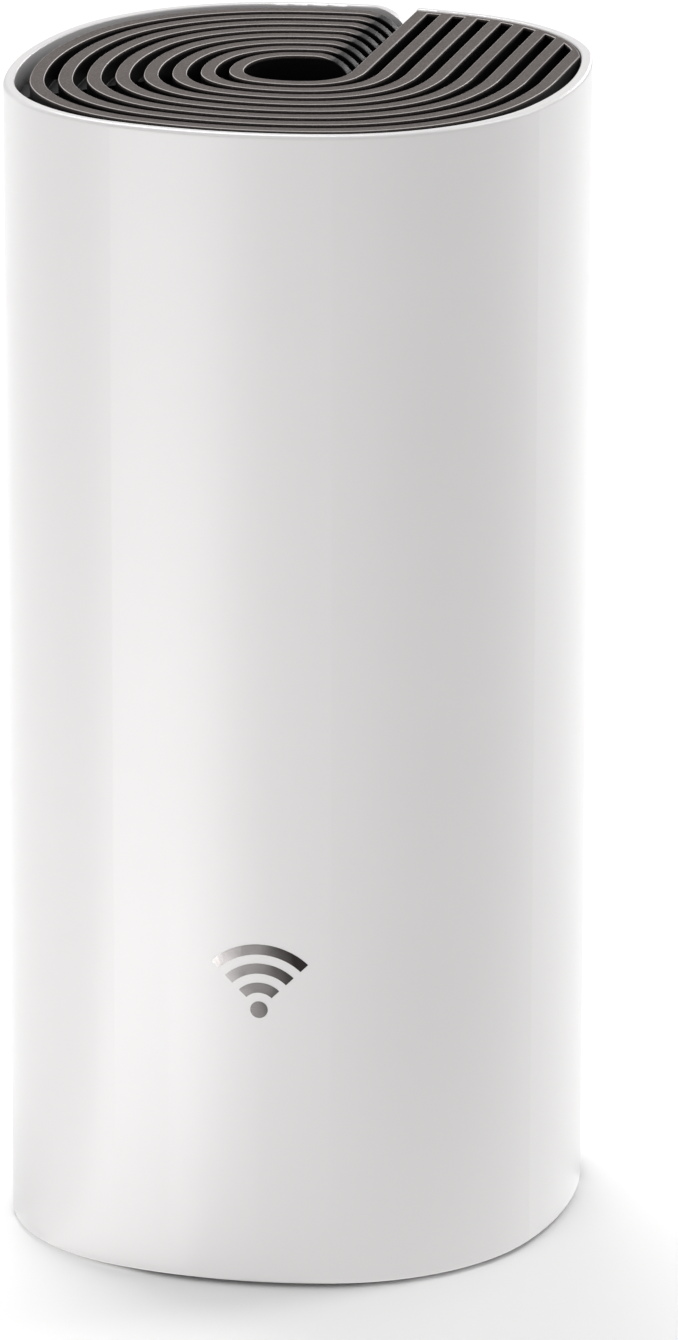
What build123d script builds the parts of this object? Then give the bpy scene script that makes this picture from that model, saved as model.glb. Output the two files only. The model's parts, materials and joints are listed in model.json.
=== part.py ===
from build123d import *
import os
from math import asin, cos, degrees, hypot, radians, sqrt, tan

# Mesh wifi node: a tall rounded-square sleeve over a vertical board, with a spiral grille on top
# and a cable bay under the base that holds the sockets, the power slider and the reset button.
# Millimetres. +Z is up, the front face looks along -Y, and the origin is the centre of the foot.

os.makedirs("parts", exist_ok=True)

# ---------------------------------------------------------------- driving dimensions: sleeve
face_width = 90.7            # across two opposite faces
body_height = 190.0          # from the table to the rim
side_radius = 71.6           # bow of each long face
tight_radius = 32.6          # corners on the +X+Y and -X-Y diagonal
soft_radius = 37.8           # corners on the other diagonal
crown_shift = 2.57           # the crown of a face stands this far from the middle of the face
sleeve_wall = 1.8
sleeve_lift = 0.8            # shadow gap between the table and the sleeve
rim_round_outer = 0.7
rim_round_inner = 0.35
slide_gap = 0.3              # clearance of everything that slides into the sleeve

# ---------------------------------------------------------------- driving dimensions: grille
ring_count = 8
rib_width = 2.2
first_ring_gap = 2.27        # open moat between the sleeve and the outermost ring
eye_half = 8.6               # half width of the open eye in the middle
grille_drop = 0.2            # rib tops lie this far below the rim
rib_depth = 11.8
band_width = 0.9             # thin edge wall that the straight fins end in
band_gap = 0.25
roll_start = 0.4             # x at which the rings begin to roll down towards the first fin
roll_floor = 0.25            # flat foot between the rolled end and the first fin
shelf_drop = 3.5             # slanting stiffener between the rings, below the rim
shelf_thick = 2.3
shelf_width = 8.0
shelf_offset = 16.6          # from the axis to the stiffener's near edge
spoke_width = 3.0
spoke_height = 2.5
flange_height = 5.0
flange_width = 6.0
clip_width = 6.0
clip_thick = 1.5
clip_barb = 0.8
clip_drop = 1.7              # barb below the deck
clip_gap = 0.1               # barb to the deck's underside
clip_slot_gap = 0.4          # room round a clip in the deck
side_clip_inset = 6.75       # from a face to the clip's inner side
front_clip_inset = 9.3
side_clip_y = 11.0
front_clip_x = 12.0
shelf_end = 3.2              # the stiffener stops this far left of the middle

# ---------------------------------------------------------------- driving dimensions: inside
deck_thick = 2.5
foot_height = 1.0
foot_inset = 3.2
foot_width = 7.0
plate_thick = 3.0
bay_side_gap = 2.25          # from the row of sockets to the bay's side
bay_front = -17.0
bay_back = 22.0
bay_wall = 2.0
bay_round = 4.0
bay_exit_overlap = 6.0       # the cable channel starts this far inside the bay
bay_height = 24.0            # table to the socket panel
panel_thick = 2.5
exit_half = 13.0             # cable exit in the back of the sleeve
exit_height = 12.0
exit_round = 5.0
boss_inset = 6.5             # screw bosses, from the outer surface
boss_radius = 3.4
boss_height = 12.0
board_thick = 1.6
board_half = 37.5
board_back = -6.0            # y of the board's rear face
board_lift = 1.0             # board above the socket panel
board_top_gap = 0.2          # board below the deck
rail_width = 5.5
rail_inner = 35.5
rail_front = -12.0
rail_back = 0.0
rail_grip = 2.0              # how far the board enters each rail
rail_grip_gap = 0.2
rail_round = 0.8
rail_screw_in = 3.3          # rail screws, from the rail's inner side
rail_screw_back = 2.9        # and from its back
rail_screw_depth = 10.0
sink_half = 30.0
sink_clear = 1.6             # above the network transformers
sink_top_gap = 18.5          # below the deck
sink_plate = 2.5
sink_screw_side = 3.0        # heat sink screws, from the plate's side
sink_screw_end = 6.0         # and from its ends
sink_foot_radius = 2.6
fin_count = 9
fin_thick = 1.2
fin_pitch = 5.25
front_fin_depth = 14.0
rear_fin_depth = 12.0
chip_height = 1.2
pad_thick = 0.8
shield_height = 2.6
shield_skin = 0.3
shield_width = 40.0
shield_tall = 25.0
radio_chip = 12.0
pad_inset = 2.0              # pads stay this far inside what they cool
processor_size = 19.0
processor_drop = 5.0         # below the heat sink's middle
memory_gap = 4.5
memory_height = 1.0
flash_x = 8.0
flash_gap = 7.5
power_start = 6.0            # first coil and first capacitor, from the middle
power_pitch = 9.0
memory_width = 11.0
memory_tall = 14.0
coil_row = 22.5              # power parts, above the board's lower edge
coil_size = 7.0
coil_height = 3.6
capacitor_base = 1.0
capacitor_radius = 3.15
capacitor_height = 6.7
transformer_width = 14.0
transformer_tall = 9.0
transformer_height = 4.0
transformer_lift = 1.5       # above the sockets
vent_pitch = 6.5
vent_radius = 2.1
vent_inset = 14.0            # the deck's vents keep this far from the faces

# ---------------------------------------------------------------- driving dimensions: sockets and controls
socket_mouth = 0.6           # sockets start this far inside the panel
rj_width = 15.9
rj_depth = 13.2
rj_length = 21.3
rj_skin = 0.4
rj_port_width = 11.8
rj_port_depth = 8.2
rj_port_length = 14.0
rj_gap = 1.0
rj_port_shift = 0.2
latch_width = 6.4            # channel for the plug's latch
latch_depth = 1.5
latch_stop = 2.0             # short of the port's end
contact_count = 8
contact_pitch = 1.02
contact_width = 0.4
contact_thick = 0.35
contact_start = 2.0          # above the mouth
contact_bend = 3.4
contact_end = 9.6
contact_reach = 2.2          # out from the port's front wall
dc_width = 9.2
dc_depth = 11.0
dc_length = 14.2
dc_bore_radius = 3.15
dc_bore_length = 9.8
dc_pin_radius = 1.0
dc_pin_length = 9.0
dc_gap = 1.5
dc_pin_round = 0.4
dc_groove_width = 2.4        # groove for the contact spring, in the bore's side
dc_groove_depth = 0.8
dc_spring_width = 2.0
dc_spring_thick = 0.3
dc_spring_start = 1.0
cutout_gap = 0.2
slot_back = 9.0              # middle air slot, in front of the bay
slot_pitch = 4.0
slot_count = 3
slot_length = 36.0
slot_width = 2.0
label_width = 34.0
label_tall = 12.0
label_round = 1.0
label_thick = 0.2
slider_travel = 3.0
slider_x = -12.0
stem_size = 2.0
slider_gap = 0.2
switch_length = 10.0
switch_depth = 5.0
switch_height = 5.0
switch_skin = 0.5
switch_pin_pitch = 2.5
switch_pin_width = 1.6
switch_pin_thick = 0.4
shoe_height = 1.6            # head of the slider inside its switch
shoe_lip = 1.0
thumb_height = 1.4
thumb_length = 5.0
thumb_depth = 4.0
thumb_round = 0.5
groove_pitch = 1.2
groove_width = 0.5
groove_depth = 0.4
reset_x = 12.0
reset_travel = 0.6
button_radius = 2.0
button_gap = 0.1
tact_size = 6.0
tact_depth = 5.0
tact_height = 4.0
tact_skin = 0.6
collar_height = 0.8          # keeps the button from falling out
collar_lip = 0.45
button_sink = 0.8            # the button's tip lies this far inside the panel
button_neck = 1.2
button_neck_lip = 0.3
button_round = 0.4
plunger_radius = 1.2
plunger_stand = 0.4          # plunger out of its case when pressed home
plunger_head = 0.6
plunger_lip = 0.4
dome_thick = 0.2
dome_gap = 0.1

# ---------------------------------------------------------------- driving dimensions: antennas, light, screws
rear_carrier_y = 28.0
front_carrier_y = -31.0
carrier_thick = 2.0
carrier_tab = 6.0            # top tab that is screwed to the deck
carrier_tab_thick = 2.5
rear_carrier_half = 22.0
rear_carrier_length = 104.5
front_carrier_half = 18.0
front_carrier_length = 90.5
hole_pitch = 20.0            # lightening slots of the rear carrier
hole_length = 13.0
hole_width = 5.0
led_lead_x = 8.0             # window for the light's lead
led_lead_drop = 11.0
led_window = 5.0
antenna_thick = 0.4
antenna_width = 15.0
antenna_height = 34.0
antenna_arm = 3.0            # width of the stamped slots
antenna_arm_lift = 6.0
antenna_foot_slot = 16.0
antenna_foot_drop = 9.0
plug_radius = 1.3
plug_height = 1.6
plug_out = 3.0               # board plugs, outside the heat sink
lead_radius = 0.57
lead_gap = 0.01
rear_screw_x = 15.0
rear_screw_in = 2.5          # carrier screws, from the plate's inner side
front_screw_x = 12.0
front_screw_in = 4.0
light_width = 6.0
light_x = 4.5
light_side_gap = 0.3
light_foot = 2.5
light_foot_lip = 1.0
led_board_width = 17.0
led_board_depth = 5.5
led_board_round = 1.0
led_board_thick = 1.0
led_width = 3.5
led_depth = 2.8
led_height = 1.2
led_dish_radius = 1.1
led_dish_depth = 0.3
led_gap = 0.2
stake_out = 3.3              # stakes, from the light pipe's side
stake_radius = 0.9
stake_tip = 0.6
big_head_radius = 2.7
big_head_height = 1.6
big_shank_radius = 1.4
small_head_radius = 2.0
small_head_height = 1.3
small_shank_radius = 1.0
base_screw_grip = 9.0        # how far the shanks run into what they hold
rail_screw_grip = 8.0
thread_gap = 0.05
head_gap = 0.2               # screw heads lie this far inside the plate

# ---------------------------------------------------------------- places worked out from the sizes
half_face = face_width / 2
inner_half = half_face - sleeve_wall
side_back = side_radius - half_face
side_x = (crown_shift - side_back) / sqrt(2)
side_y = (-crown_shift - side_back) / sqrt(2)
tight_angle = degrees(asin(-side_y / (side_radius - tight_radius)))
soft_angle = degrees(asin(-side_x / (side_radius - soft_radius)))
tight_centre = side_x + (side_radius - tight_radius) * cos(radians(tight_angle))
soft_centre = side_y + (side_radius - soft_radius) * cos(radians(soft_angle))
tight_reach = tight_centre + tight_radius
soft_reach = soft_centre + soft_radius

plate_bottom = foot_height
plate_top = plate_bottom + plate_thick
panel_top = bay_height + panel_thick
board_bottom = panel_top + board_lift
board_front = board_back - board_thick
rib_top = body_height - grille_drop
rib_bottom = rib_top - rib_depth
flange_bottom = rib_bottom - flange_height
deck_top = flange_bottom
deck_bottom = deck_top - deck_thick
first_ring_half = inner_half - first_ring_gap
ring_pitch = (first_ring_half - rib_width - eye_half) / (ring_count - 1)
fitted_inset = sleeve_wall + slide_gap


def corner_spots(inset):
    """The four places on the diagonals that lie an inset from the outer surface."""
    tight = (tight_reach - inset) / sqrt(2)
    soft = (soft_reach - inset) / sqrt(2)
    return [(tight, tight), (-tight, -tight), (-soft, soft), (soft, -soft)]


def body_plan(inset=0.0, scale=1.0):
    """Face inside the body's outline: four bowed sides, two tight corners and two soft ones."""
    side_span = 90 - tight_angle - soft_angle
    arcs = []
    for sign in (1, -1):
        turn = 90 - 90 * sign
        arcs.append((sign * tight_centre, 0, tight_radius, turn - tight_angle, 2 * tight_angle))
        arcs.append((0, sign * soft_centre, soft_radius, turn + 90 - soft_angle, 2 * soft_angle))
        arcs.append((sign * side_x, sign * side_y, side_radius, turn + tight_angle, side_span))
        arcs.append((-sign * side_x, sign * side_y, side_radius, turn + 90 + soft_angle, side_span))
    with BuildSketch() as plan:
        with BuildLine():
            for x, y, radius, start, span in arcs:
                centre = Vector(x, y).rotate(Axis.Z, 45) * scale
                CenterArc(centre, (radius - inset) * scale, start + 45, span)
        make_face()
    return plan.sketch


def finish(piece, name):
    """Names a finished piece and writes it."""
    piece.part.label = name
    export_step(piece.part, f"parts/{name}.step")


def facing(origin, normal):
    """Plane seen from the side its normal points to; its local x runs along -X."""
    return Plane(origin=origin, x_dir=(-1, 0, 0), z_dir=normal)


def pan_screws(plane, spots, head_radius, head_height, shank_radius, length):
    """Pan-head screws with a cross recess: heads stand on the plane, shanks run behind it."""
    with BuildSketch(plane) as shanks:
        with Locations(*spots):
            Circle(shank_radius)
    extrude(shanks.sketch, amount=-length)
    with BuildSketch(plane) as heads:
        with Locations(*spots):
            Circle(head_radius)
    extrude(heads.sketch, amount=head_height)
    with BuildSketch(plane.offset(head_height)) as recesses:
        with Locations(*spots):
            Rectangle(1.3 * head_radius, 0.3 * head_radius)
            Rectangle(0.3 * head_radius, 1.3 * head_radius)
    extrude(recesses.sketch, amount=-head_height / 2, mode=Mode.SUBTRACT)


def mirrored(spots):
    """The same places with x turned round, for planes from facing()."""
    return [(-x, y) for x, y in spots]


outer_plan = body_plan()
inner_plan = body_plan(sleeve_wall)
fitted_plan = body_plan(fitted_inset)

# ---------------------------------------------------------------- notch where the rings roll down
notch_right = eye_half
roll_radius = notch_right - roll_floor - roll_start


def notch_profile(top):
    """Open corner above the rolled ends, drawn on the XZ plane; it reaches past the top."""
    low = top - roll_radius
    with BuildSketch(Plane.XZ) as profile:
        with BuildLine():
            Polyline(
                (roll_start + roll_radius, low),
                (notch_right, low),
                (notch_right, top + 5),
                (roll_start, top + 5),
                (roll_start, top),
            )
            CenterArc((roll_start, low), roll_radius, 0, 90)
        make_face()
    return profile.sketch


sleeve_notch = notch_profile(body_height)
grille_notch = notch_profile(rib_top)

# ---------------------------------------------------------------- outer sleeve
boss_spots = corner_spots(boss_inset)
screw_hole_radius = big_shank_radius + thread_gap
with BuildPart() as outer_sleeve:
    with BuildSketch(Plane.XY.offset(sleeve_lift)):
        add(outer_plan)
        add(inner_plan, mode=Mode.SUBTRACT)
    extrude(amount=body_height - sleeve_lift)
    rim = outer_sleeve.faces().sort_by(Axis.Z)[-1]
    fillet(rim.outer_wire().edges(), rim_round_outer)
    rim = outer_sleeve.faces().filter_by(GeomType.PLANE).sort_by(Axis.Z)[-1]
    fillet(rim.inner_wires()[0].edges(), rim_round_inner)
    hem = outer_sleeve.faces().filter_by(GeomType.PLANE).sort_by(Axis.Z)[0]
    fillet(hem.outer_wire().edges(), rim_round_inner)
    # screw bosses, each tied to its corner by a web
    with BuildSketch(Plane.XY.offset(plate_top)) as boss_sketch:
        for x, y in boss_spots:
            with Locations((x, y)):
                Circle(boss_radius)
            reach = hypot(x, y)
            outward = (x * (reach + boss_inset) / reach, y * (reach + boss_inset) / reach)
            with Locations(((x + outward[0]) / 2, (y + outward[1]) / 2)):
                Rectangle(boss_inset, boss_radius, rotation=45 if x * y > 0 else -45)
        add(inner_plan, mode=Mode.INTERSECT)
    extrude(amount=boss_height)
    with BuildSketch(Plane.XY.offset(plate_top)):
        with Locations(*boss_spots):
            Circle(screw_hole_radius)
    extrude(amount=boss_height - 2, mode=Mode.SUBTRACT)
    # notch at the back of the rim
    with BuildSketch(Plane.XZ):
        add(sleeve_notch)
    extrude(amount=-face_width, mode=Mode.SUBTRACT)
    # arched cable exit
    with BuildSketch(Plane.XZ):
        with BuildLine():
            Polyline(
                (exit_half - exit_round, exit_height),
                (exit_round - exit_half, exit_height),
            )
            CenterArc((exit_round - exit_half, exit_height - exit_round), exit_round, 90, 90)
            Polyline(
                (-exit_half, exit_height - exit_round),
                (-exit_half, 0),
                (exit_half, 0),
                (exit_half, exit_height - exit_round),
            )
            CenterArc((exit_half - exit_round, exit_height - exit_round), exit_round, 0, 90)
        make_face()
    extrude(amount=-face_width, mode=Mode.SUBTRACT)
finish(outer_sleeve, "outer_sleeve")


# ---------------------------------------------------------------- top grille
def ring_plan(outer_half):
    """One ring that leaves its curve at the right-hand face and runs on straight to the back."""
    inner = outer_half - rib_width
    outer_tangent = crown_shift * outer_half / half_face
    inner_tangent = crown_shift * inner / half_face
    outside = body_plan(scale=outer_half / half_face)
    inside = body_plan(scale=inner / half_face)
    # the innermost ring already touches the notch, so the cut has no step there
    step = [(notch_right, inner_tangent)] if inner > notch_right + band_gap else []
    with BuildSketch() as plan:
        add(outside)
        add(inside, mode=Mode.SUBTRACT)
        with BuildLine():
            Polyline(
                *step,
                (inner, inner_tangent),
                (outer_half, outer_tangent),
                (face_width, outer_tangent),
                (face_width, face_width),
                (notch_right if step else inner, face_width),
                close=True,
            )
        make_face(mode=Mode.SUBTRACT)
        with BuildLine():
            Polyline(
                (inner, inner_tangent),
                (outer_half, outer_tangent),
                (outer_half, face_width),
                (inner, face_width),
                close=True,
            )
        make_face()
    return plan.sketch


grille_inset = sleeve_wall + band_gap
grille_plan = body_plan(grille_inset)
band_inner_plan = body_plan(grille_inset + band_width)
flange_inner_plan = body_plan(grille_inset + flange_width)
ring_plans = [ring_plan(first_ring_half - ring_pitch * index) for index in range(ring_count)]
light_y = first_ring_half - (ring_pitch + rib_width) / 2
light_thick = ring_pitch - rib_width - 2 * light_side_gap
rail_screw_x = rail_inner + rail_screw_in
rail_screw_y = rail_back - rail_screw_back
rail_screw_spots = [(rail_screw_x, rail_screw_y), (-rail_screw_x, rail_screw_y)]
side_clip_x = half_face - side_clip_inset
front_clip_y = half_face - front_clip_inset
barb_top = deck_bottom - clip_gap
barb_foot = deck_bottom - clip_drop

with BuildPart() as top_grille:
    with BuildSketch(Plane.XY.offset(rib_bottom)):
        for plan in ring_plans:
            add(plan)
        add(grille_plan, mode=Mode.INTERSECT)
    extrude(amount=rib_depth)
    # thin edge wall from the first fin round to the last one
    with BuildSketch(Plane.XY.offset(rib_bottom)):
        add(grille_plan)
        add(band_inner_plan, mode=Mode.SUBTRACT)
        with Locations((eye_half, 0)):
            Rectangle(
                first_ring_half - eye_half,
                face_width,
                align=(Align.MIN, Align.MIN),
                mode=Mode.INTERSECT,
            )
    extrude(amount=rib_depth)
    # slanting shelf between the rings, and the low spokes that tie them together
    with BuildSketch(Plane.XY.offset(body_height - shelf_drop - shelf_thick)):
        shelf_middle = (shelf_offset + shelf_width / 2) / sqrt(2)
        with Locations((-shelf_middle, shelf_middle)):
            Rectangle(2 * face_width, shelf_width, rotation=45)
        with Locations((-shelf_end, 0)):
            Rectangle(face_width, 2 * face_width, align=(Align.MAX, Align.CENTER), mode=Mode.INTERSECT)
        add(grille_plan, mode=Mode.INTERSECT)
    extrude(amount=shelf_thick)
    with BuildSketch(Plane.XY.offset(rib_bottom)):
        Rectangle(2 * face_width, spoke_width)
        Rectangle(2 * face_width, spoke_width, rotation=-45)
        Rectangle(2 * eye_half, 2 * eye_half, mode=Mode.SUBTRACT)
        add(grille_plan, mode=Mode.INTERSECT)
    extrude(amount=spoke_height)
    with BuildSketch(Plane.XZ):
        add(grille_notch)
    extrude(amount=-face_width, mode=Mode.SUBTRACT)
    # flange that rests on the deck
    with BuildSketch(Plane.XY.offset(flange_bottom)):
        add(grille_plan)
        add(flange_inner_plan, mode=Mode.SUBTRACT)
        with Locations((light_x, light_y)):
            Rectangle(light_width + 2 * light_side_gap, ring_pitch - rib_width, mode=Mode.SUBTRACT)
    extrude(amount=flange_height)
    with BuildSketch(Plane.XY.offset(flange_bottom)):
        with Locations(*rail_screw_spots):
            Circle(small_head_radius + slide_gap)
    extrude(amount=small_head_height + slide_gap, mode=Mode.SUBTRACT)
    # four spring clips through the deck
    for sign in (1, -1):
        with BuildSketch(Plane.XZ.offset(-side_clip_y)):
            with BuildLine():
                Polyline(
                    (sign * side_clip_x, flange_bottom),
                    (sign * side_clip_x, barb_foot),
                    (sign * (side_clip_x + clip_thick), barb_foot),
                    (sign * (side_clip_x + clip_thick + clip_barb), barb_top),
                    (sign * (side_clip_x + clip_thick), barb_top),
                    (sign * (side_clip_x + clip_thick), flange_bottom),
                    close=True,
                )
            make_face()
        extrude(amount=clip_width / 2, both=True)
        with BuildSketch(Plane.YZ.offset(sign * front_clip_x)):
            with BuildLine():
                Polyline(
                    (-front_clip_y, flange_bottom),
                    (-front_clip_y, barb_foot),
                    (-front_clip_y - clip_thick, barb_foot),
                    (-front_clip_y - clip_thick - clip_barb, barb_top),
                    (-front_clip_y - clip_thick, barb_top),
                    (-front_clip_y - clip_thick, flange_bottom),
                    close=True,
                )
            make_face()
        extrude(amount=clip_width / 2, both=True)
finish(top_grille, "top_grille")

# ---------------------------------------------------------------- top deck
rear_screw_y = rear_carrier_y - rear_screw_in
front_screw_y = front_carrier_y + front_screw_in
rear_screw_spots = [(rear_screw_x, rear_screw_y), (-rear_screw_x, rear_screw_y)]
front_screw_spots = [(front_screw_x, front_screw_y), (-front_screw_x, front_screw_y)]
carrier_screw_spots = rear_screw_spots + front_screw_spots
boss_room = boss_radius + 2 * slide_gap
small_hole_radius = small_shank_radius + thread_gap
vent_reach = half_face - vent_inset
vent_steps = int(vent_reach / vent_pitch)
vent_spots = []
for column in range(-vent_steps, vent_steps + 1):
    for row in range(-vent_steps, vent_steps + 1):
        spot = (column * vent_pitch, row * vent_pitch)
        screw_distances = [hypot(spot[0] - x, spot[1] - y) for x, y in carrier_screw_spots]
        if hypot(*spot) < vent_reach and min(screw_distances) > 2 * vent_radius + small_head_radius / 2:
            vent_spots.append(spot)
clip_slot_thick = clip_thick + clip_slot_gap
clip_slot_width = clip_width + 2 * clip_slot_gap
led_board_top = deck_bottom - light_foot - led_gap - led_height
stake_reach = light_width / 2 + stake_out
stake_spots = [(light_x - stake_reach, light_y), (light_x + stake_reach, light_y)]
light_slot_width = light_width + 2 * light_side_gap

with BuildPart() as top_deck:
    with BuildSketch(Plane.XY.offset(deck_bottom)):
        add(fitted_plan)
        with Locations(*boss_spots):
            Circle(boss_room, mode=Mode.SUBTRACT)
        for x, y in boss_spots:
            outside = 1 + boss_inset / hypot(x, y)
            with Locations((x * outside, y * outside)):
                Rectangle(
                    2 * boss_inset,
                    2 * boss_room,
                    rotation=45 if x * y > 0 else -45,
                    mode=Mode.SUBTRACT,
                )
        with Locations(*vent_spots):
            Circle(vent_radius, mode=Mode.SUBTRACT)
        with Locations((light_x, light_y)):
            Rectangle(light_slot_width, light_thick + 2 * light_side_gap, mode=Mode.SUBTRACT)
        for sign in (1, -1):
            with Locations((sign * (side_clip_x + clip_thick / 2), side_clip_y)):
                Rectangle(clip_slot_thick, clip_slot_width, mode=Mode.SUBTRACT)
            with Locations((sign * front_clip_x, -front_clip_y - clip_thick / 2)):
                Rectangle(clip_slot_width, clip_slot_thick, mode=Mode.SUBTRACT)
        with Locations(*rail_screw_spots, *carrier_screw_spots):
            Circle(small_hole_radius, mode=Mode.SUBTRACT)
    extrude(amount=deck_thick)
    # posts and stakes that hold the light board
    with BuildSketch(Plane.XY.offset(deck_bottom)):
        with Locations(*stake_spots):
            Circle(2 * stake_radius)
    extrude(amount=led_board_top - deck_bottom)
    with BuildSketch(Plane.XY.offset(led_board_top)):
        with Locations(*stake_spots):
            Circle(stake_radius)
    extrude(amount=-led_board_thick - stake_tip)
finish(top_deck, "top_deck")

# ---------------------------------------------------------------- status light
with BuildPart() as led_board:
    with BuildSketch(Plane.XY.offset(led_board_top - led_board_thick)):
        with Locations((light_x, light_y)):
            RectangleRounded(led_board_width, led_board_depth, led_board_round)
        with Locations(*stake_spots):
            Circle(stake_radius + thread_gap, mode=Mode.SUBTRACT)
    extrude(amount=led_board_thick)
finish(led_board, "led_board")

with BuildPart() as status_led:
    with BuildSketch(Plane.XY.offset(led_board_top)):
        with Locations((light_x, light_y)):
            Rectangle(led_width, led_depth)
    extrude(amount=led_height)
    with BuildSketch(Plane.XY.offset(led_board_top + led_height)):
        with Locations((light_x, light_y)):
            Circle(led_dish_radius)
    extrude(amount=-led_dish_depth, mode=Mode.SUBTRACT)
finish(status_led, "status_led")

with BuildPart() as light_pipe:
    with BuildSketch(Plane.XY.offset(deck_bottom - light_foot)):
        with Locations((light_x, light_y)):
            Rectangle(light_width + 2 * light_foot_lip, light_thick + light_foot_lip)
    extrude(amount=light_foot)
    with BuildSketch(Plane.XY.offset(deck_bottom)):
        with Locations((light_x, light_y)):
            Rectangle(light_width, light_thick)
    extrude(amount=rib_bottom + spoke_height - deck_bottom)
finish(light_pipe, "light_pipe")

# ---------------------------------------------------------------- rails that hold the board
rail_outer = rail_inner + rail_width
for side, name in ((1, "right_rail"), (-1, "left_rail")):
    with BuildPart() as rail:
        with BuildSketch(Plane.XY.offset(plate_top)):
            with Locations((side * (rail_inner + rail_outer) / 2, (rail_front + rail_back) / 2)):
                RectangleRounded(rail_width, rail_back - rail_front, rail_round)
        extrude(amount=deck_bottom - plate_top)
        with BuildSketch(Plane.XY.offset(board_bottom)):
            with Locations((side * rail_inner, board_back - board_thick / 2)):
                Rectangle(2 * (rail_grip + rail_grip_gap), board_thick + 2 * thread_gap)
        extrude(amount=deck_bottom - board_bottom, mode=Mode.SUBTRACT)
        with BuildSketch(Plane.XY.offset(plate_top)):
            with Locations((side * rail_screw_x, rail_screw_y)):
                Circle(small_hole_radius)
        extrude(amount=rail_screw_depth, mode=Mode.SUBTRACT)
        with BuildSketch(Plane.XY.offset(deck_bottom)):
            with Locations((side * rail_screw_x, rail_screw_y)):
                Circle(small_hole_radius)
        extrude(amount=-rail_screw_depth, mode=Mode.SUBTRACT)
    finish(rail, name)

# ---------------------------------------------------------------- base tray with the cable bay
mouth_z = bay_height + socket_mouth
row_half = (dc_width + dc_gap + 2 * rj_width + rj_gap) / 2
bay_half = row_half + bay_side_gap
dc_x = -row_half + dc_width / 2
rj_xs = [row_half - 1.5 * rj_width - rj_gap, row_half - rj_width / 2]
rj_y = board_back + rj_depth / 2
dc_y = board_back + dc_depth / 2
control_y = board_front - switch_depth / 2
bay_middle_y = (bay_front + bay_back) / 2
bay_span_y = bay_back - bay_front
head_sink = big_head_height + head_gap

with BuildSketch() as bay_sketch:
    with Locations((0, bay_middle_y)):
        RectangleRounded(2 * bay_half, bay_span_y, bay_round)
    with Locations((0, bay_back - bay_exit_overlap)):
        Rectangle(2 * exit_half, face_width, align=(Align.CENTER, Align.MIN))
with BuildSketch() as bay_wall_sketch:
    with Locations((0, bay_middle_y)):
        RectangleRounded(2 * (bay_half + bay_wall), bay_span_y + 2 * bay_wall, bay_round + bay_wall)
    with Locations((0, bay_back - bay_exit_overlap)):
        Rectangle(2 * (exit_half + bay_wall), face_width, align=(Align.CENTER, Align.MIN))
    add(fitted_plan, mode=Mode.INTERSECT)

with BuildPart() as base_tray:
    with BuildSketch(Plane.XY.offset(plate_bottom)):
        add(fitted_plan)
    extrude(amount=plate_thick)
    with BuildSketch(Plane.XY.offset(plate_bottom)):
        add(bay_wall_sketch.sketch)
    extrude(amount=panel_top - plate_bottom)
    with BuildSketch(Plane.XY.offset(plate_bottom)):
        add(bay_sketch.sketch)
    extrude(amount=bay_height - plate_bottom, mode=Mode.SUBTRACT)
    # openings of the panel: two network sockets, the power inlet, the slider and the button
    with BuildSketch(Plane.XY.offset(bay_height)):
        for x in rj_xs:
            with Locations((x, rj_y)):
                Rectangle(rj_width + 2 * cutout_gap, rj_depth + 2 * cutout_gap)
        with Locations((dc_x, dc_y)):
            Rectangle(dc_width + 2 * cutout_gap, dc_depth + 2 * cutout_gap)
        with Locations((slider_x + slider_travel / 2, control_y)):
            Rectangle(stem_size + slider_travel + 2 * slider_gap, stem_size + 2 * slider_gap)
        with Locations((reset_x, control_y)):
            Circle(button_radius + button_gap)
    extrude(amount=panel_thick, mode=Mode.SUBTRACT)
    # screw holes under the foot
    with BuildSketch(Plane.XY.offset(plate_bottom)):
        with Locations(*boss_spots):
            Circle(big_shank_radius + slide_gap / 2)
        with Locations(*rail_screw_spots):
            Circle(small_shank_radius + slide_gap / 2)
    extrude(amount=plate_thick, mode=Mode.SUBTRACT)
    with BuildSketch(Plane.XY.offset(plate_bottom)):
        with Locations(*boss_spots):
            Circle(big_head_radius + slide_gap)
        with Locations(*rail_screw_spots):
            Circle(small_head_radius + slide_gap)
    extrude(amount=head_sink, mode=Mode.SUBTRACT)
    # air slots at the front
    with BuildSketch(Plane.XY.offset(plate_bottom)):
        with Locations((0, bay_front - bay_wall - slot_back)):
            with GridLocations(1, slot_pitch, 1, slot_count):
                SlotOverall(slot_length, slot_width)
    extrude(amount=plate_thick, mode=Mode.SUBTRACT)
finish(base_tray, "base_tray")

# ---------------------------------------------------------------- rubber foot
foot_outer_plan = body_plan(foot_inset)
foot_inner_plan = body_plan(foot_inset + foot_width)
with BuildPart() as foot_ring:
    with BuildSketch():
        add(foot_outer_plan)
        add(foot_inner_plan, mode=Mode.SUBTRACT)
        with Locations((0, bay_back)):
            Rectangle(
                2 * (exit_half + bay_wall),
                face_width,
                align=(Align.CENTER, Align.MIN),
                mode=Mode.SUBTRACT,
            )
    extrude(amount=foot_height)
finish(foot_ring, "foot_ring")

with BuildPart() as rating_label:
    with BuildSketch(Plane.XZ.offset(-bay_front)):
        with Locations((0, (plate_top + bay_height) / 2)):
            RectangleRounded(label_width, label_tall, label_round)
    extrude(amount=-label_thick)
finish(rating_label, "rating_label")

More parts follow.
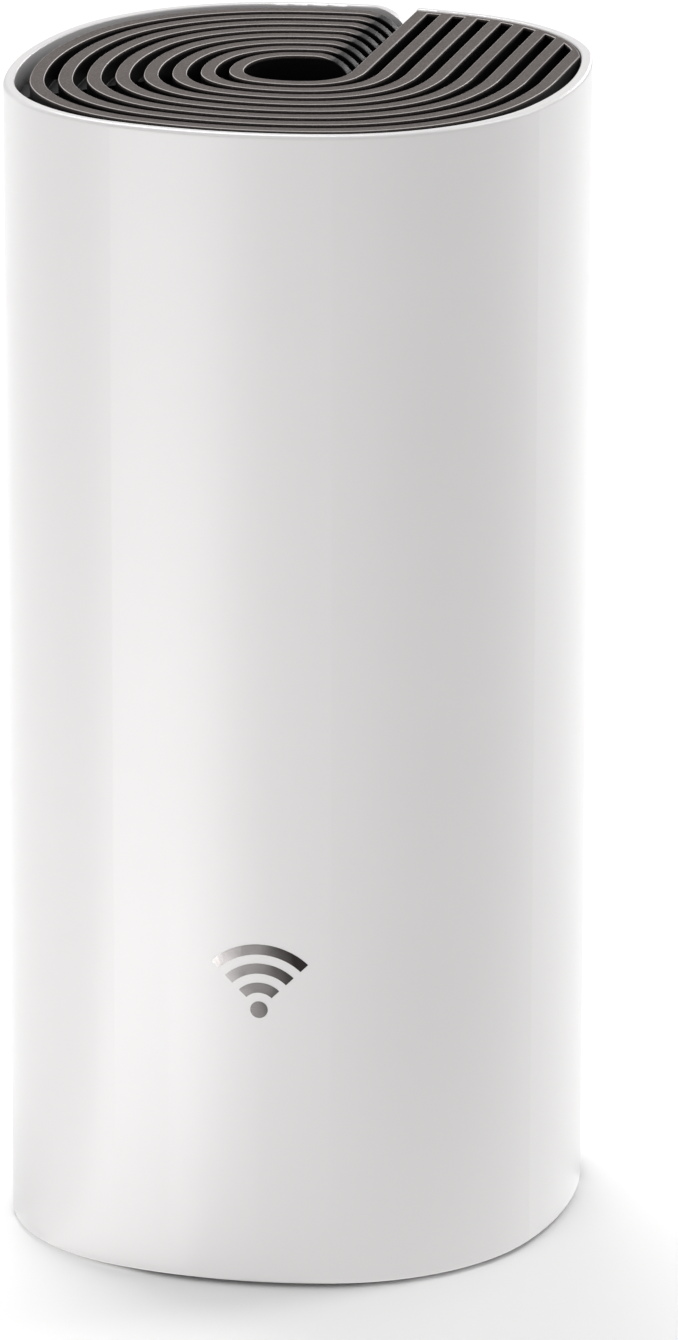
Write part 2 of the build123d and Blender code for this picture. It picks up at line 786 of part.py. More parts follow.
# ---------------------------------------------------------------- main board
board_top = deck_bottom - board_top_gap
transformer_z = mouth_z + rj_length + transformer_lift + transformer_tall / 2
sink_bottom = transformer_z + transformer_tall / 2 + sink_clear
sink_top = deck_bottom - sink_top_gap
sink_height = sink_top - sink_bottom
sink_middle = (sink_bottom + sink_top) / 2
sink_screw_x = sink_half - sink_screw_side
sink_screw_zs = (sink_bottom + sink_screw_end, sink_top - sink_screw_end)
sink_screw_spots = [(x, z) for x in (sink_screw_x, -sink_screw_x) for z in sink_screw_zs]
with BuildPart() as main_board:
    with BuildSketch(Plane.XZ.offset(-board_back)):
        with Locations((0, (board_bottom + board_top) / 2)):
            Rectangle(2 * board_half, board_top - board_bottom)
        with Locations(*sink_screw_spots):
            Circle(small_shank_radius + slide_gap / 2, mode=Mode.SUBTRACT)
    extrude(amount=board_thick)
finish(main_board, "main_board")

# ---------------------------------------------------------------- chips and small parts on the board
board_front_plane = Plane.XZ.offset(-board_front)
board_rear_plane = facing((0, board_back, 0), (0, 1, 0))
processor_z = sink_middle - processor_drop
memory_x = (processor_size + memory_width) / 2 + memory_gap
memory_spots = [
    (-memory_x, processor_z),
    (memory_x, processor_z),
    (-flash_x, processor_z + (processor_size + memory_tall) / 2 + flash_gap),
]
coil_z = board_bottom + coil_row
coil_xs = [-power_start - power_pitch * index for index in range(3)]
capacitor_xs = [power_start + power_pitch * index for index in range(3)]

with BuildPart() as processor:
    with BuildSketch(board_front_plane):
        with Locations((0, processor_z)):
            Rectangle(processor_size, processor_size)
    extrude(amount=chip_height)
finish(processor, "processor")

with BuildPart() as processor_pad:
    with BuildSketch(board_front_plane.offset(chip_height)):
        with Locations((0, processor_z)):
            Rectangle(processor_size - pad_inset / 2, processor_size - pad_inset / 2)
    extrude(amount=pad_thick)
finish(processor_pad, "processor_pad")

with BuildPart() as memory_chips:
    with BuildSketch(board_front_plane):
        with Locations(*memory_spots):
            Rectangle(memory_width, memory_tall)
    extrude(amount=memory_height)
finish(memory_chips, "memory_chips")

with BuildPart() as power_coils:
    with BuildSketch(board_front_plane):
        with Locations(*[(x, coil_z) for x in coil_xs]):
            RectangleRounded(coil_size, coil_size, coil_size / 8)
    extrude(amount=coil_height)
finish(power_coils, "power_coils")

with BuildPart() as capacitors:
    with BuildSketch(board_front_plane):
        with Locations(*[(x, coil_z) for x in capacitor_xs]):
            Rectangle(2.1 * capacitor_radius, 2.1 * capacitor_radius)
    extrude(amount=capacitor_base)
    with BuildSketch(board_front_plane.offset(capacitor_base)):
        with Locations(*[(x, coil_z) for x in capacitor_xs]):
            Circle(capacitor_radius)
    extrude(amount=capacitor_height)
finish(capacitors, "capacitors")

radio_zs = [sink_bottom + sink_height * share for share in (0.17, 0.5, 0.83)]
with BuildPart() as radio_shields:
    with BuildSketch(board_rear_plane):
        for z in radio_zs:
            with Locations((0, z)):
                Rectangle(shield_width, shield_tall)
    extrude(amount=shield_height)
    with BuildSketch(board_rear_plane):
        for z in radio_zs:
            with Locations((0, z)):
                Rectangle(shield_width - 2 * shield_skin, shield_tall - 2 * shield_skin)
    extrude(amount=shield_height - shield_skin, mode=Mode.SUBTRACT)
finish(radio_shields, "radio_shields")

with BuildPart() as radio_chips:
    with BuildSketch(board_rear_plane):
        for z in radio_zs:
            with Locations((0, z)):
                Rectangle(radio_chip, radio_chip)
    extrude(amount=memory_height)
finish(radio_chips, "radio_chips")

with BuildPart() as radio_pads:
    with BuildSketch(board_rear_plane.offset(shield_height)):
        for z in radio_zs:
            with Locations((0, z)):
                Rectangle(shield_width - 2 * pad_inset, shield_tall - 2 * pad_inset)
    extrude(amount=pad_thick)
finish(radio_pads, "radio_pads")

with BuildPart() as network_transformers:
    with BuildSketch(board_rear_plane):
        for x in rj_xs:
            with Locations((-x, transformer_z)):
                Rectangle(transformer_width, transformer_tall)
    extrude(amount=transformer_height)
finish(network_transformers, "network_transformers")


# ---------------------------------------------------------------- heat sinks
def build_sink(plane, gap, fin_depth, hole_radius, through):
    """Finned plate whose four feet stand on the board; the plane is the board's own surface."""
    with BuildSketch(plane.offset(gap)) as base:
        with Locations((0, sink_middle)):
            Rectangle(2 * sink_half, sink_height)
    extrude(base.sketch, amount=sink_plate)
    with BuildSketch(plane.offset(gap + sink_plate)) as fins:
        with Locations((0, sink_middle)):
            with GridLocations(fin_pitch, 1, fin_count, 1):
                Rectangle(fin_thick, sink_height)
    extrude(fins.sketch, amount=fin_depth)
    with BuildSketch(plane) as feet:
        with Locations(*sink_screw_spots):
            Circle(sink_foot_radius)
    extrude(feet.sketch, amount=gap)
    with BuildSketch(plane) as holes:
        with Locations(*sink_screw_spots):
            Circle(hole_radius)
    extrude(holes.sketch, amount=gap + (sink_plate if through else sink_plate / 2), mode=Mode.SUBTRACT)


with BuildPart() as front_heatsink:
    build_sink(board_front_plane, chip_height + pad_thick, front_fin_depth, small_hole_radius, False)
finish(front_heatsink, "front_heatsink")

rear_sink_gap = shield_height + pad_thick
with BuildPart() as rear_heatsink:
    build_sink(board_rear_plane, rear_sink_gap, rear_fin_depth, small_hole_radius + 0.1, True)
finish(rear_heatsink, "rear_heatsink")

with BuildPart() as heatsink_screws:
    pan_screws(
        board_rear_plane.offset(rear_sink_gap + sink_plate),
        sink_screw_spots,
        small_head_radius,
        small_head_height,
        small_shank_radius,
        sink_plate + rear_sink_gap + board_thick + chip_height + pad_thick,
    )
finish(heatsink_screws, "heatsink_screws")

# ---------------------------------------------------------------- network sockets
port_back_y = rj_y + rj_port_depth / 2 + rj_port_shift
port_front_y = port_back_y - rj_port_depth
for number, x in enumerate(rj_xs, start=1):
    with BuildPart() as rj_shell:
        with BuildSketch(Plane.XY.offset(mouth_z)):
            with Locations((x, rj_y)):
                Rectangle(rj_width, rj_depth)
        extrude(amount=rj_length)
        with BuildSketch(Plane.XY.offset(mouth_z)):
            with Locations((x, rj_y)):
                Rectangle(rj_width - 2 * rj_skin, rj_depth - 2 * rj_skin)
        extrude(amount=rj_length - rj_skin, mode=Mode.SUBTRACT)
    finish(rj_shell, f"network_shell_{number}")

    with BuildPart() as rj_body:
        with BuildSketch(Plane.XY.offset(mouth_z)):
            with Locations((x, rj_y)):
                Rectangle(rj_width - 2 * rj_skin, rj_depth - 2 * rj_skin)
        extrude(amount=rj_length - rj_skin)
        with BuildSketch(Plane.XY.offset(mouth_z)):
            with Locations((x, (port_front_y + port_back_y) / 2)):
                Rectangle(rj_port_width, rj_port_depth)
        extrude(amount=rj_port_length, mode=Mode.SUBTRACT)
        with BuildSketch(Plane.XY.offset(mouth_z)):
            with Locations((x, port_back_y)):
                Rectangle(latch_width, 2 * latch_depth)
        extrude(amount=rj_port_length - latch_stop, mode=Mode.SUBTRACT)
    finish(rj_body, f"network_socket_{number}")

    with BuildPart() as rj_contacts:
        for index in range(contact_count):
            contact_x = x + (index - (contact_count - 1) / 2) * contact_pitch
            with BuildSketch(Plane.YZ.offset(contact_x)):
                with BuildLine():
                    Polyline(
                        (port_front_y, mouth_z + rj_port_length),
                        (port_front_y, mouth_z + contact_start),
                        (port_front_y + contact_thick, mouth_z + contact_start),
                        (port_front_y + contact_reach, mouth_z + contact_end),
                        (port_front_y + contact_reach - contact_thick, mouth_z + contact_end),
                        (port_front_y + contact_thick, mouth_z + contact_bend),
                        (port_front_y + contact_thick, mouth_z + rj_port_length),
                        close=True,
                    )
                make_face()
            extrude(amount=contact_width / 2, both=True)
    finish(rj_contacts, f"network_contacts_{number}")

# ---------------------------------------------------------------- power inlet
with BuildPart() as power_inlet:
    with BuildSketch(Plane.XY.offset(mouth_z)):
        with Locations((dc_x, dc_y)):
            Rectangle(dc_width, dc_depth)
    extrude(amount=dc_length)
    with BuildSketch(Plane.XY.offset(mouth_z)):
        with Locations((dc_x, dc_y)):
            Circle(dc_bore_radius)
        with Locations((dc_x, dc_y + dc_bore_radius)):
            Rectangle(dc_groove_width, 2 * dc_groove_depth)
    extrude(amount=dc_bore_length, mode=Mode.SUBTRACT)
finish(power_inlet, "power_inlet")

with BuildPart() as inlet_pin:
    with BuildSketch(Plane.XY.offset(mouth_z + dc_bore_length)):
        with Locations((dc_x, dc_y)):
            Circle(dc_pin_radius)
    extrude(amount=-dc_pin_length)
    fillet(inlet_pin.faces().sort_by(Axis.Z)[0].edges(), dc_pin_round)
finish(inlet_pin, "inlet_pin")

with BuildPart() as inlet_spring:
    with BuildSketch(Plane.XY.offset(mouth_z + dc_spring_start)):
        with Locations((dc_x, dc_y + dc_bore_radius + dc_groove_depth / 2)):
            Rectangle(dc_spring_width, dc_spring_thick)
    extrude(amount=dc_bore_length - dc_spring_start)
finish(inlet_spring, "inlet_spring")

# ---------------------------------------------------------------- power slider and its switch
switch_middle_x = slider_x + slider_travel / 2
switch_bottom = panel_top + slider_gap
shoe_length = stem_size + 2 * shoe_lip
shoe_depth = stem_size + shoe_lip
thumb_top = bay_height - slider_gap
shoe_bottom = switch_bottom + switch_skin + slider_gap

with BuildPart() as switch_case:
    with BuildSketch(Plane.XY.offset(switch_bottom)):
        with Locations((switch_middle_x, control_y)):
            Rectangle(switch_length, switch_depth)
    extrude(amount=switch_height)
    with BuildSketch(Plane.XY.offset(switch_bottom + switch_skin)):
        with Locations((switch_middle_x, control_y)):
            Rectangle(switch_length - 2 * switch_skin, switch_depth - 2 * switch_skin)
    extrude(amount=switch_height - 2 * switch_skin, mode=Mode.SUBTRACT)
    with BuildSketch(Plane.XY.offset(switch_bottom)):
        with Locations((switch_middle_x, control_y)):
            Rectangle(stem_size + slider_travel + 2 * slider_gap, stem_size + 2 * slider_gap)
    extrude(amount=switch_skin, mode=Mode.SUBTRACT)
finish(switch_case, "switch_case")

with BuildPart() as switch_terminals:
    with BuildSketch(Plane.XY.offset(switch_bottom + switch_height - switch_skin)):
        with Locations((switch_middle_x, control_y)):
            with GridLocations(switch_pin_pitch, 1, 3, 1):
                Rectangle(switch_pin_width, switch_depth - 2 * switch_skin - 2 * slider_gap)
    extrude(amount=-switch_pin_thick)
finish(switch_terminals, "switch_terminals")

with BuildPart() as power_slider:
    with BuildSketch(Plane.XY.offset(shoe_bottom)):
        with Locations((slider_x, control_y)):
            Rectangle(shoe_length, shoe_depth)
    extrude(amount=shoe_height)
    with BuildSketch(Plane.XY.offset(thumb_top)):
        with Locations((slider_x, control_y)):
            Rectangle(stem_size, stem_size)
    extrude(amount=shoe_bottom - thumb_top)
    with BuildSketch(Plane.XY.offset(thumb_top)):
        with Locations((slider_x, control_y)):
            RectangleRounded(thumb_length, thumb_depth, thumb_round)
    extrude(amount=-thumb_height)
    with BuildSketch(Plane.XY.offset(thumb_top - thumb_height)):
        with Locations((slider_x, control_y)):
            with GridLocations(groove_pitch, 1, 3, 1):
                Rectangle(groove_width, 2 * thumb_depth)
    extrude(amount=groove_depth, mode=Mode.SUBTRACT)
finish(power_slider, "power_slider")

# ---------------------------------------------------------------- reset button and its switch
collar_bottom = panel_top + button_gap
button_tip = bay_height + button_sink
plunger_bottom = collar_bottom + collar_height + button_neck
tact_bottom = plunger_bottom + reset_travel + plunger_stand
plunger_head_bottom = tact_bottom + tact_skin + thread_gap

with BuildPart() as reset_button:
    with BuildSketch(Plane.XY.offset(button_tip)):
        with Locations((reset_x, control_y)):
            Circle(button_radius)
    extrude(amount=collar_bottom - button_tip)
    with BuildSketch(Plane.XY.offset(collar_bottom)):
        with Locations((reset_x, control_y)):
            Circle(button_radius + collar_lip)
    extrude(amount=collar_height)
    with BuildSketch(Plane.XY.offset(collar_bottom + collar_height)):
        with Locations((reset_x, control_y)):
            Circle(plunger_radius + button_neck_lip)
    extrude(amount=plunger_bottom - collar_bottom - collar_height)
    fillet(reset_button.faces().sort_by(Axis.Z)[0].edges(), button_round)
finish(reset_button, "reset_button")

with BuildPart() as tact_plunger:
    with BuildSketch(Plane.XY.offset(plunger_bottom)):
        with Locations((reset_x, control_y)):
            Circle(plunger_radius)
    extrude(amount=plunger_head_bottom - plunger_bottom)
    with BuildSketch(Plane.XY.offset(plunger_head_bottom)):
        with Locations((reset_x, control_y)):
            Circle(plunger_radius + plunger_lip)
    extrude(amount=plunger_head)
finish(tact_plunger, "tact_plunger")

with BuildPart() as tact_case:
    with BuildSketch(Plane.XY.offset(tact_bottom)):
        with Locations((reset_x, control_y)):
            Rectangle(tact_size, tact_depth)
    extrude(amount=tact_height)
    with BuildSketch(Plane.XY.offset(tact_bottom + tact_skin)):
        with Locations((reset_x, control_y)):
            Circle(tact_depth / 2 - tact_skin)
    extrude(amount=tact_height - 2 * tact_skin, mode=Mode.SUBTRACT)
    with BuildSketch(Plane.XY.offset(tact_bottom)):
        with Locations((reset_x, control_y)):
            Circle(plunger_radius + button_gap)
    extrude(amount=tact_skin, mode=Mode.SUBTRACT)
finish(tact_case, "tact_case")

dome_bottom = plunger_head_bottom + plunger_head
dome_top = tact_bottom + tact_height - tact_skin
with BuildPart() as tact_dome:
    with BuildSketch(Plane.XY.offset(dome_bottom)):
        with Locations((reset_x, control_y)):
            Circle(plunger_radius)
    extrude(amount=dome_thick)
    with BuildSketch(Plane.XY.offset(dome_bottom + dome_thick)):
        with Locations((reset_x, control_y)):
            Circle(tact_depth / 2 - tact_skin - dome_gap)
            Circle(plunger_radius - dome_thick, mode=Mode.SUBTRACT)
    extrude(amount=dome_top - dome_bottom - dome_thick)
finish(tact_dome, "tact_dome")

# ---------------------------------------------------------------- antenna carriers
rear_carrier_bottom = deck_bottom - rear_carrier_length
front_carrier_bottom = deck_bottom - front_carrier_length
rear_face_y = rear_carrier_y + carrier_thick
front_face_y = front_carrier_y - carrier_thick
led_lead_z = deck_bottom - led_lead_drop

with BuildPart() as rear_carrier:
    with BuildSketch(Plane.XZ.offset(-rear_carrier_y)):
        with Locations((0, (rear_carrier_bottom + deck_bottom) / 2)):
            Rectangle(2 * rear_carrier_half, deck_bottom - rear_carrier_bottom)
        with Locations((0, (rear_carrier_bottom + deck_bottom) / 2)):
            with GridLocations(1, hole_pitch, 1, 4):
                SlotOverall(hole_length, hole_width, rotation=90, mode=Mode.SUBTRACT)
        with Locations((led_lead_x, led_lead_z)):
            Rectangle(led_window, led_window, mode=Mode.SUBTRACT)
    extrude(amount=-carrier_thick)
    with BuildSketch(Plane.XY.offset(deck_bottom)):
        with Locations((0, rear_carrier_y)):
            Rectangle(2 * rear_carrier_half, carrier_tab, align=(Align.CENTER, Align.MAX))
        with Locations(*rear_screw_spots):
            Circle(small_hole_radius, mode=Mode.SUBTRACT)
    extrude(amount=-carrier_tab_thick)
finish(rear_carrier, "rear_antenna_carrier")

with BuildPart() as front_carrier:
    with BuildSketch(Plane.XZ.offset(-front_carrier_y)):
        with Locations((0, (front_carrier_bottom + deck_bottom) / 2)):
            Rectangle(2 * front_carrier_half, deck_bottom - front_carrier_bottom)
    extrude(amount=carrier_thick)
    with BuildSketch(Plane.XY.offset(deck_bottom)):
        with Locations((0, front_carrier_y)):
            Rectangle(2 * front_carrier_half, carrier_tab, align=(Align.CENTER, Align.MIN))
        with Locations(*front_screw_spots):
            Circle(small_hole_radius, mode=Mode.SUBTRACT)
    extrude(amount=-carrier_tab_thick)
finish(front_carrier, "front_antenna_carrier")

# ---------------------------------------------------------------- antennas and their leads
socket_x = sink_half + plug_out


def antenna_shape(plane, x, z, side):
    """Stamped antenna: a plate with a slot that leaves a folded arm."""
    with BuildSketch(plane) as blank:
        with Locations((x, z)):
            Rectangle(antenna_width, antenna_height)
        with Locations((x - side * 2 * antenna_arm / 3, z + antenna_arm_lift)):
            Rectangle(antenna_width, antenna_arm, mode=Mode.SUBTRACT)
        with Locations((x + side * antenna_arm, z - antenna_foot_drop)):
            Rectangle(antenna_arm, antenna_foot_slot, mode=Mode.SUBTRACT)
    extrude(blank.sketch, amount=antenna_thick)


def lead_tube(points):
    """Round lead along straight runs joined by arcs as large as the runs allow."""
    corners = [Vector(*point) for point in points]
    radii = []
    for before, corner, after in zip(corners, corners[1:], corners[2:]):
        turn = radians((corner - before).get_angle(after - corner))
        shorter = min((corner - before).length, (after - corner).length)
        radii.append(0.45 * shorter / tan(turn / 2))
    with BuildLine() as path:
        FilletPolyline(*points, radius=radii)
    with BuildSketch(path.line ^ 0) as section:
        Circle(lead_radius)
    sweep(section.sketch, path=path.line)


rear_lead_y = rear_face_y + antenna_thick + lead_radius + lead_gap
front_lead_y = front_face_y - antenna_thick - lead_radius - lead_gap
rear_antenna_zs = (
    (deck_bottom - 80.5, sink_middle - 33.0),
    (deck_bottom - 34.5, sink_middle + 20.0),
)
rear_antennas = [
    (side, z, socket_z)
    for side in (1, -1)
    for z, socket_z in rear_antenna_zs
]
front_antennas = [(side, deck_bottom - 50.5, sink_middle) for side in (1, -1)]

number = 0
for side, z, socket_z in rear_antennas:
    number += 1
    with BuildPart() as antenna:
        antenna_shape(facing((0, rear_face_y, 0), (0, 1, 0)), -side * 11.5, z, -side)
    finish(antenna, f"antenna_{number}")
    with BuildPart() as lead:
        lead_tube([
            (side * socket_x, board_back + plug_height, socket_z),
            (side * socket_x, 7.0, socket_z),
            (side * 29.0, 20.0, (socket_z + z) / 2),
            (side * 25.0, rear_lead_y, z),
            (side * 17.0, rear_lead_y, z),
        ])
    finish(lead, f"antenna_lead_{number}")
for side, z, socket_z in front_antennas:
    number += 1
    with BuildPart() as antenna:
        antenna_shape(Plane.XZ.offset(-front_face_y), side * 9.0, z, side)
    finish(antenna, f"antenna_{number}")
    with BuildPart() as lead:
        lead_tube([
            (side * socket_x, board_front - plug_height, socket_z),
            (side * socket_x, board_front - 9.5, socket_z),
            (side * 28.0, -25.0, (socket_z + z) / 2),
            (side * 22.0, front_lead_y, z),
            (side * 14.0, front_lead_y, z),
        ])
    finish(lead, f"antenna_lead_{number}")

with BuildPart() as lead_plugs:
    for side, z, socket_z in rear_antennas:
        with BuildSketch(board_rear_plane):
            with Locations((-side * socket_x, socket_z)):
                Circle(plug_radius)
        extrude(amount=plug_height)
    for side, z, socket_z in front_antennas:
        with BuildSketch(board_front_plane):
            with Locations((side * socket_x, socket_z)):
                Circle(plug_radius)
        extrude(amount=plug_height)
finish(lead_plugs, "lead_plugs")

with BuildPart() as light_lead:
    lead_tube([
        (led_lead_x, light_y, led_board_top - led_board_thick),
        (led_lead_x, light_y, led_lead_z + 1.0),
        (led_lead_x, rear_face_y - 1.0, led_lead_z),
        (led_lead_x, 15.0, led_lead_z - 2.0),
        (led_lead_x, 4.0, led_lead_z),
        (led_lead_x, board_back, led_lead_z),
    ])
finish(light_lead, "light_lead")

# ---------------------------------------------------------------- screw groups
with BuildPart() as base_screws:
    pan_screws(
        facing((0, 0, plate_bottom + head_sink), (0, 0, -1)),
        mirrored(boss_spots),
        big_head_radius,
        big_head_height,
        big_shank_radius,
        plate_thick - head_sink + base_screw_grip,
    )
finish(base_screws, "base_screws")

with BuildPart() as rail_screws:
    pan_screws(
        facing((0, 0, plate_bottom + head_sink), (0, 0, -1)),
        mirrored(rail_screw_spots),
        small_head_radius,
        small_head_height,
        small_shank_radius,
        plate_thick - head_sink + rail_screw_grip,
    )
finish(rail_screws, "rail_screws")

with BuildPart() as deck_screws:
    pan_screws(
        Plane.XY.offset(deck_top),
        rail_screw_spots,
        small_head_radius,
        small_head_height,
        small_shank_radius,
        deck_thick + rail_screw_grip,
    )
    pan_screws(
        Plane.XY.offset(deck_top),
        carrier_screw_spots,
        small_head_radius,
        small_head_height,
        small_shank_radius,
        deck_thick + carrier_tab_thick,
    )
finish(deck_screws, "deck_screws")
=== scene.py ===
"""Looks of a mesh wifi node: finishes, softened edges, a foil mark, a snap dome and the studio."""

import json
import logging
from dataclasses import dataclass, field
from enum import Enum
from math import cos, pi, radians, sin
from typing import Iterable

import bmesh
import bpy
from mathutils import Matrix, Vector
from mathutils.bvhtree import BVHTree


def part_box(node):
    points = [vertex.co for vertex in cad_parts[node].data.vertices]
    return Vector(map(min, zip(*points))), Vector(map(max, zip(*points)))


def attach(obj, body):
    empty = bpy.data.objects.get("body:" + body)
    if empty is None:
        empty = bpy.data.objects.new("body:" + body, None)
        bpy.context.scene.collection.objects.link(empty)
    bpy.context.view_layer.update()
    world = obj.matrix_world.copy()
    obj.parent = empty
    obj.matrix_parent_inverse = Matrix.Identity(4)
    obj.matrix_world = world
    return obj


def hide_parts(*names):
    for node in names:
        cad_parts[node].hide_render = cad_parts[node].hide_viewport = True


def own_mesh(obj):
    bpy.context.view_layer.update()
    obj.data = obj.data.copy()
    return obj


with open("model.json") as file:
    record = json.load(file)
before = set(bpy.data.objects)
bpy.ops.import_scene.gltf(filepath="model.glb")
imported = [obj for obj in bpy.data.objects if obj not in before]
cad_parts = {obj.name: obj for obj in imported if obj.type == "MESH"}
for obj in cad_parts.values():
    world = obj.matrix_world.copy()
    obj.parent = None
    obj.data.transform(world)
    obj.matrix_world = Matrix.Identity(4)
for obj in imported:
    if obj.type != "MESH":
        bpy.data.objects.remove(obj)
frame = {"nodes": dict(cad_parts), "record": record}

LOG = logging.getLogger("wifi_node")
MM = 0.001
HOUSING = "housing"

COAT_ROUGHNESS = 0.3
SCATTER = (1.0, 0.95, 0.9)  # how far red, green and blue spread inside, as shares of the reach
SCATTER_REACH = 0.0015
STREAK = 0.03  # width of a drawn streak as a share of its length
PIT_REACH = 0.6  # radius of a mould pit, in grains
MOTTLE = 3  # patches that break up the pits, in grains
SLOW_WAVE = 6  # waves of an almost polished surface, in grains
HANDLED_SIZE = 2.5  # patches rubbed by handling, in drift patches
HANDLED_SHARE = 0.6  # share of handling in the roughness; the relief has the rest

SEAM = 0.000002  # points nearer than this are joined before an edge is rounded
FLAT_WITHIN = 0.3  # faces within this many degrees count as one flat face
SHARP_FROM = 35  # edges of at least this many degrees are rounded
ROUND_STEPS = 2

FILM_WIDTH = 36  # millimetres
NEAR, FAR = 0.05, 50

Triple = tuple[float, float, float]
Colour = Triple
Range = tuple[float, float]
Outline = list[list[tuple[float, float]]]
Socket = bpy.types.NodeSocket


class Relief(Enum):
    """How the fine relief of a surface is laid."""

    GRAIN = "fine even grain"
    SPARKED = "pitted mould texture"
    DRAWN_UP = "drawn streaks along Z"
    DRAWN_ACROSS = "drawn streaks along X"
    SMOOTH = "almost polished, with slow waves"


class NodeBench:
    """A new material's node tree, with short calls for the nodes that the finishes use."""

    def __init__(self, name: str) -> None:
        """Makes the material with its shader and its coordinates.

        Args:
            name: what the material is called.
        """
        self.material = bpy.data.materials.new(name)
        self.material.use_nodes = True
        self.tree = self.material.node_tree
        self.tree.nodes.clear()
        self.shader = self.tree.nodes.new("ShaderNodeBsdfPrincipled")
        output = self.tree.nodes.new("ShaderNodeOutputMaterial")
        self.link(self.shader.outputs["BSDF"], output.inputs["Surface"])
        points = self.tree.nodes.new("ShaderNodeTexCoord")
        self.place, self.facing = points.outputs["Object"], points.outputs["Normal"]

    def link(self, source: Socket, target: Socket) -> None:
        """Joins two sockets."""
        self.tree.links.new(source, target)

    def feed(self, target: Socket, value: Socket | Colour | float) -> None:
        """Links a socket to a target, or sets the target to a colour or a number.

        Args:
            target: the socket that takes the value.
            value: a socket, a colour or a number.
        """
        if isinstance(value, Socket):
            self.link(value, target)
        else:
            target.default_value = (*value, 1.0) if isinstance(value, tuple) else value

    def noise(self, size: float, detail: float = 2.0, stretch: Triple = (1, 1, 1)) -> Socket:
        """Noise with patches of a given size.

        Args:
            size: width of one patch, in metres.
            detail: how many finer layers it has.
            stretch: scale of the pattern along X, Y and Z.

        Returns:
            The socket that gives 0 to 1.
        """
        mapping = self.tree.nodes.new("ShaderNodeMapping")
        mapping.inputs["Scale"].default_value = stretch
        self.link(self.place, mapping.inputs["Vector"])
        noise = self.tree.nodes.new("ShaderNodeTexNoise")
        noise.inputs["Scale"].default_value = 1 / size
        noise.inputs["Detail"].default_value = detail
        self.link(mapping.outputs["Vector"], noise.inputs["Vector"])
        return noise.outputs["Fac"]

    def cells(self, size: float) -> Socket:
        """Distance to the nearest pit of a random field.

        Args:
            size: distance between pits, in metres.

        Returns:
            The socket that gives the distance, in pattern units.
        """
        cells = self.tree.nodes.new("ShaderNodeTexVoronoi")
        cells.inputs["Scale"].default_value = 1 / size
        self.link(self.place, cells.inputs["Vector"])
        return cells.outputs["Distance"]

    def span(
        self, value: Socket, low: float, high: float, start: float = 0.3, end: float = 0.7
    ) -> Socket:
        """Spreads a value over a range.

        Args:
            value: the socket to spread.
            low: what start becomes.
            high: what end becomes.
            start: input that gives low.
            end: input that gives high.

        Returns:
            The socket with the spread value.
        """
        spread = self.tree.nodes.new("ShaderNodeMapRange")
        spread.inputs["From Min"].default_value = start
        spread.inputs["From Max"].default_value = end
        spread.inputs["To Min"].default_value = low
        spread.inputs["To Max"].default_value = high
        self.link(value, spread.inputs["Value"])
        return spread.outputs["Result"]

    def between(self, share: Socket, first: Colour | Socket, second: Colour | Socket) -> Socket:
        """Mixes two colours.

        Args:
            share: how much of the second colour shows.
            first: colour at 0, or a socket that gives it.
            second: colour at 1, or a socket that gives it.

        Returns:
            The socket with the mixed colour.
        """
        mix = self.tree.nodes.new("ShaderNodeMix")
        mix.data_type = "RGBA"
        colours = [s for s in mix.inputs if s.type == "RGBA"]
        factor = next(s for s in mix.inputs if s.type == "VALUE")
        self.link(share, factor)
        for socket, value in zip(colours, (first, second)):
            self.feed(socket, value)
        return next(s for s in mix.outputs if s.type == "RGBA")

    def math(self, operation: str, first: Socket | float, second: Socket | float = 0.0) -> Socket:
        """One sum on two values.

        Args:
            operation: Blender's name for the sum.
            first: a socket or a number.
            second: a socket or a number.

        Returns:
            The socket with the result.
        """
        node = self.tree.nodes.new("ShaderNodeMath")
        node.operation = operation
        for socket, value in zip(node.inputs, (first, second)):
            self.feed(socket, value)
        return node.outputs["Value"]

    def axis(self, name: str, vector: Socket | None = None) -> Socket:
        """One coordinate of the surface point in metres, or of another vector.

        Args:
            name: X, Y or Z.
            vector: the other vector, where it isn't the surface point.

        Returns:
            The socket with the coordinate.
        """
        split = self.tree.nodes.new("ShaderNodeSeparateXYZ")
        self.link(self.place if vector is None else vector, split.inputs["Vector"])
        return split.outputs[name]

    def bump(self, height: Socket, depth: float) -> None:
        """Gives the shader its relief.

        Args:
            height: the relief, from 0 to 1.
            depth: metres from the lowest to the highest point.
        """
        bump = self.tree.nodes.new("ShaderNodeBump")
        bump.inputs["Distance"].default_value = depth
        bump.inputs["Strength"].default_value = 1.0
        self.link(height, bump.inputs["Height"])
        self.link(bump.outputs["Normal"], self.shader.inputs["Normal"])


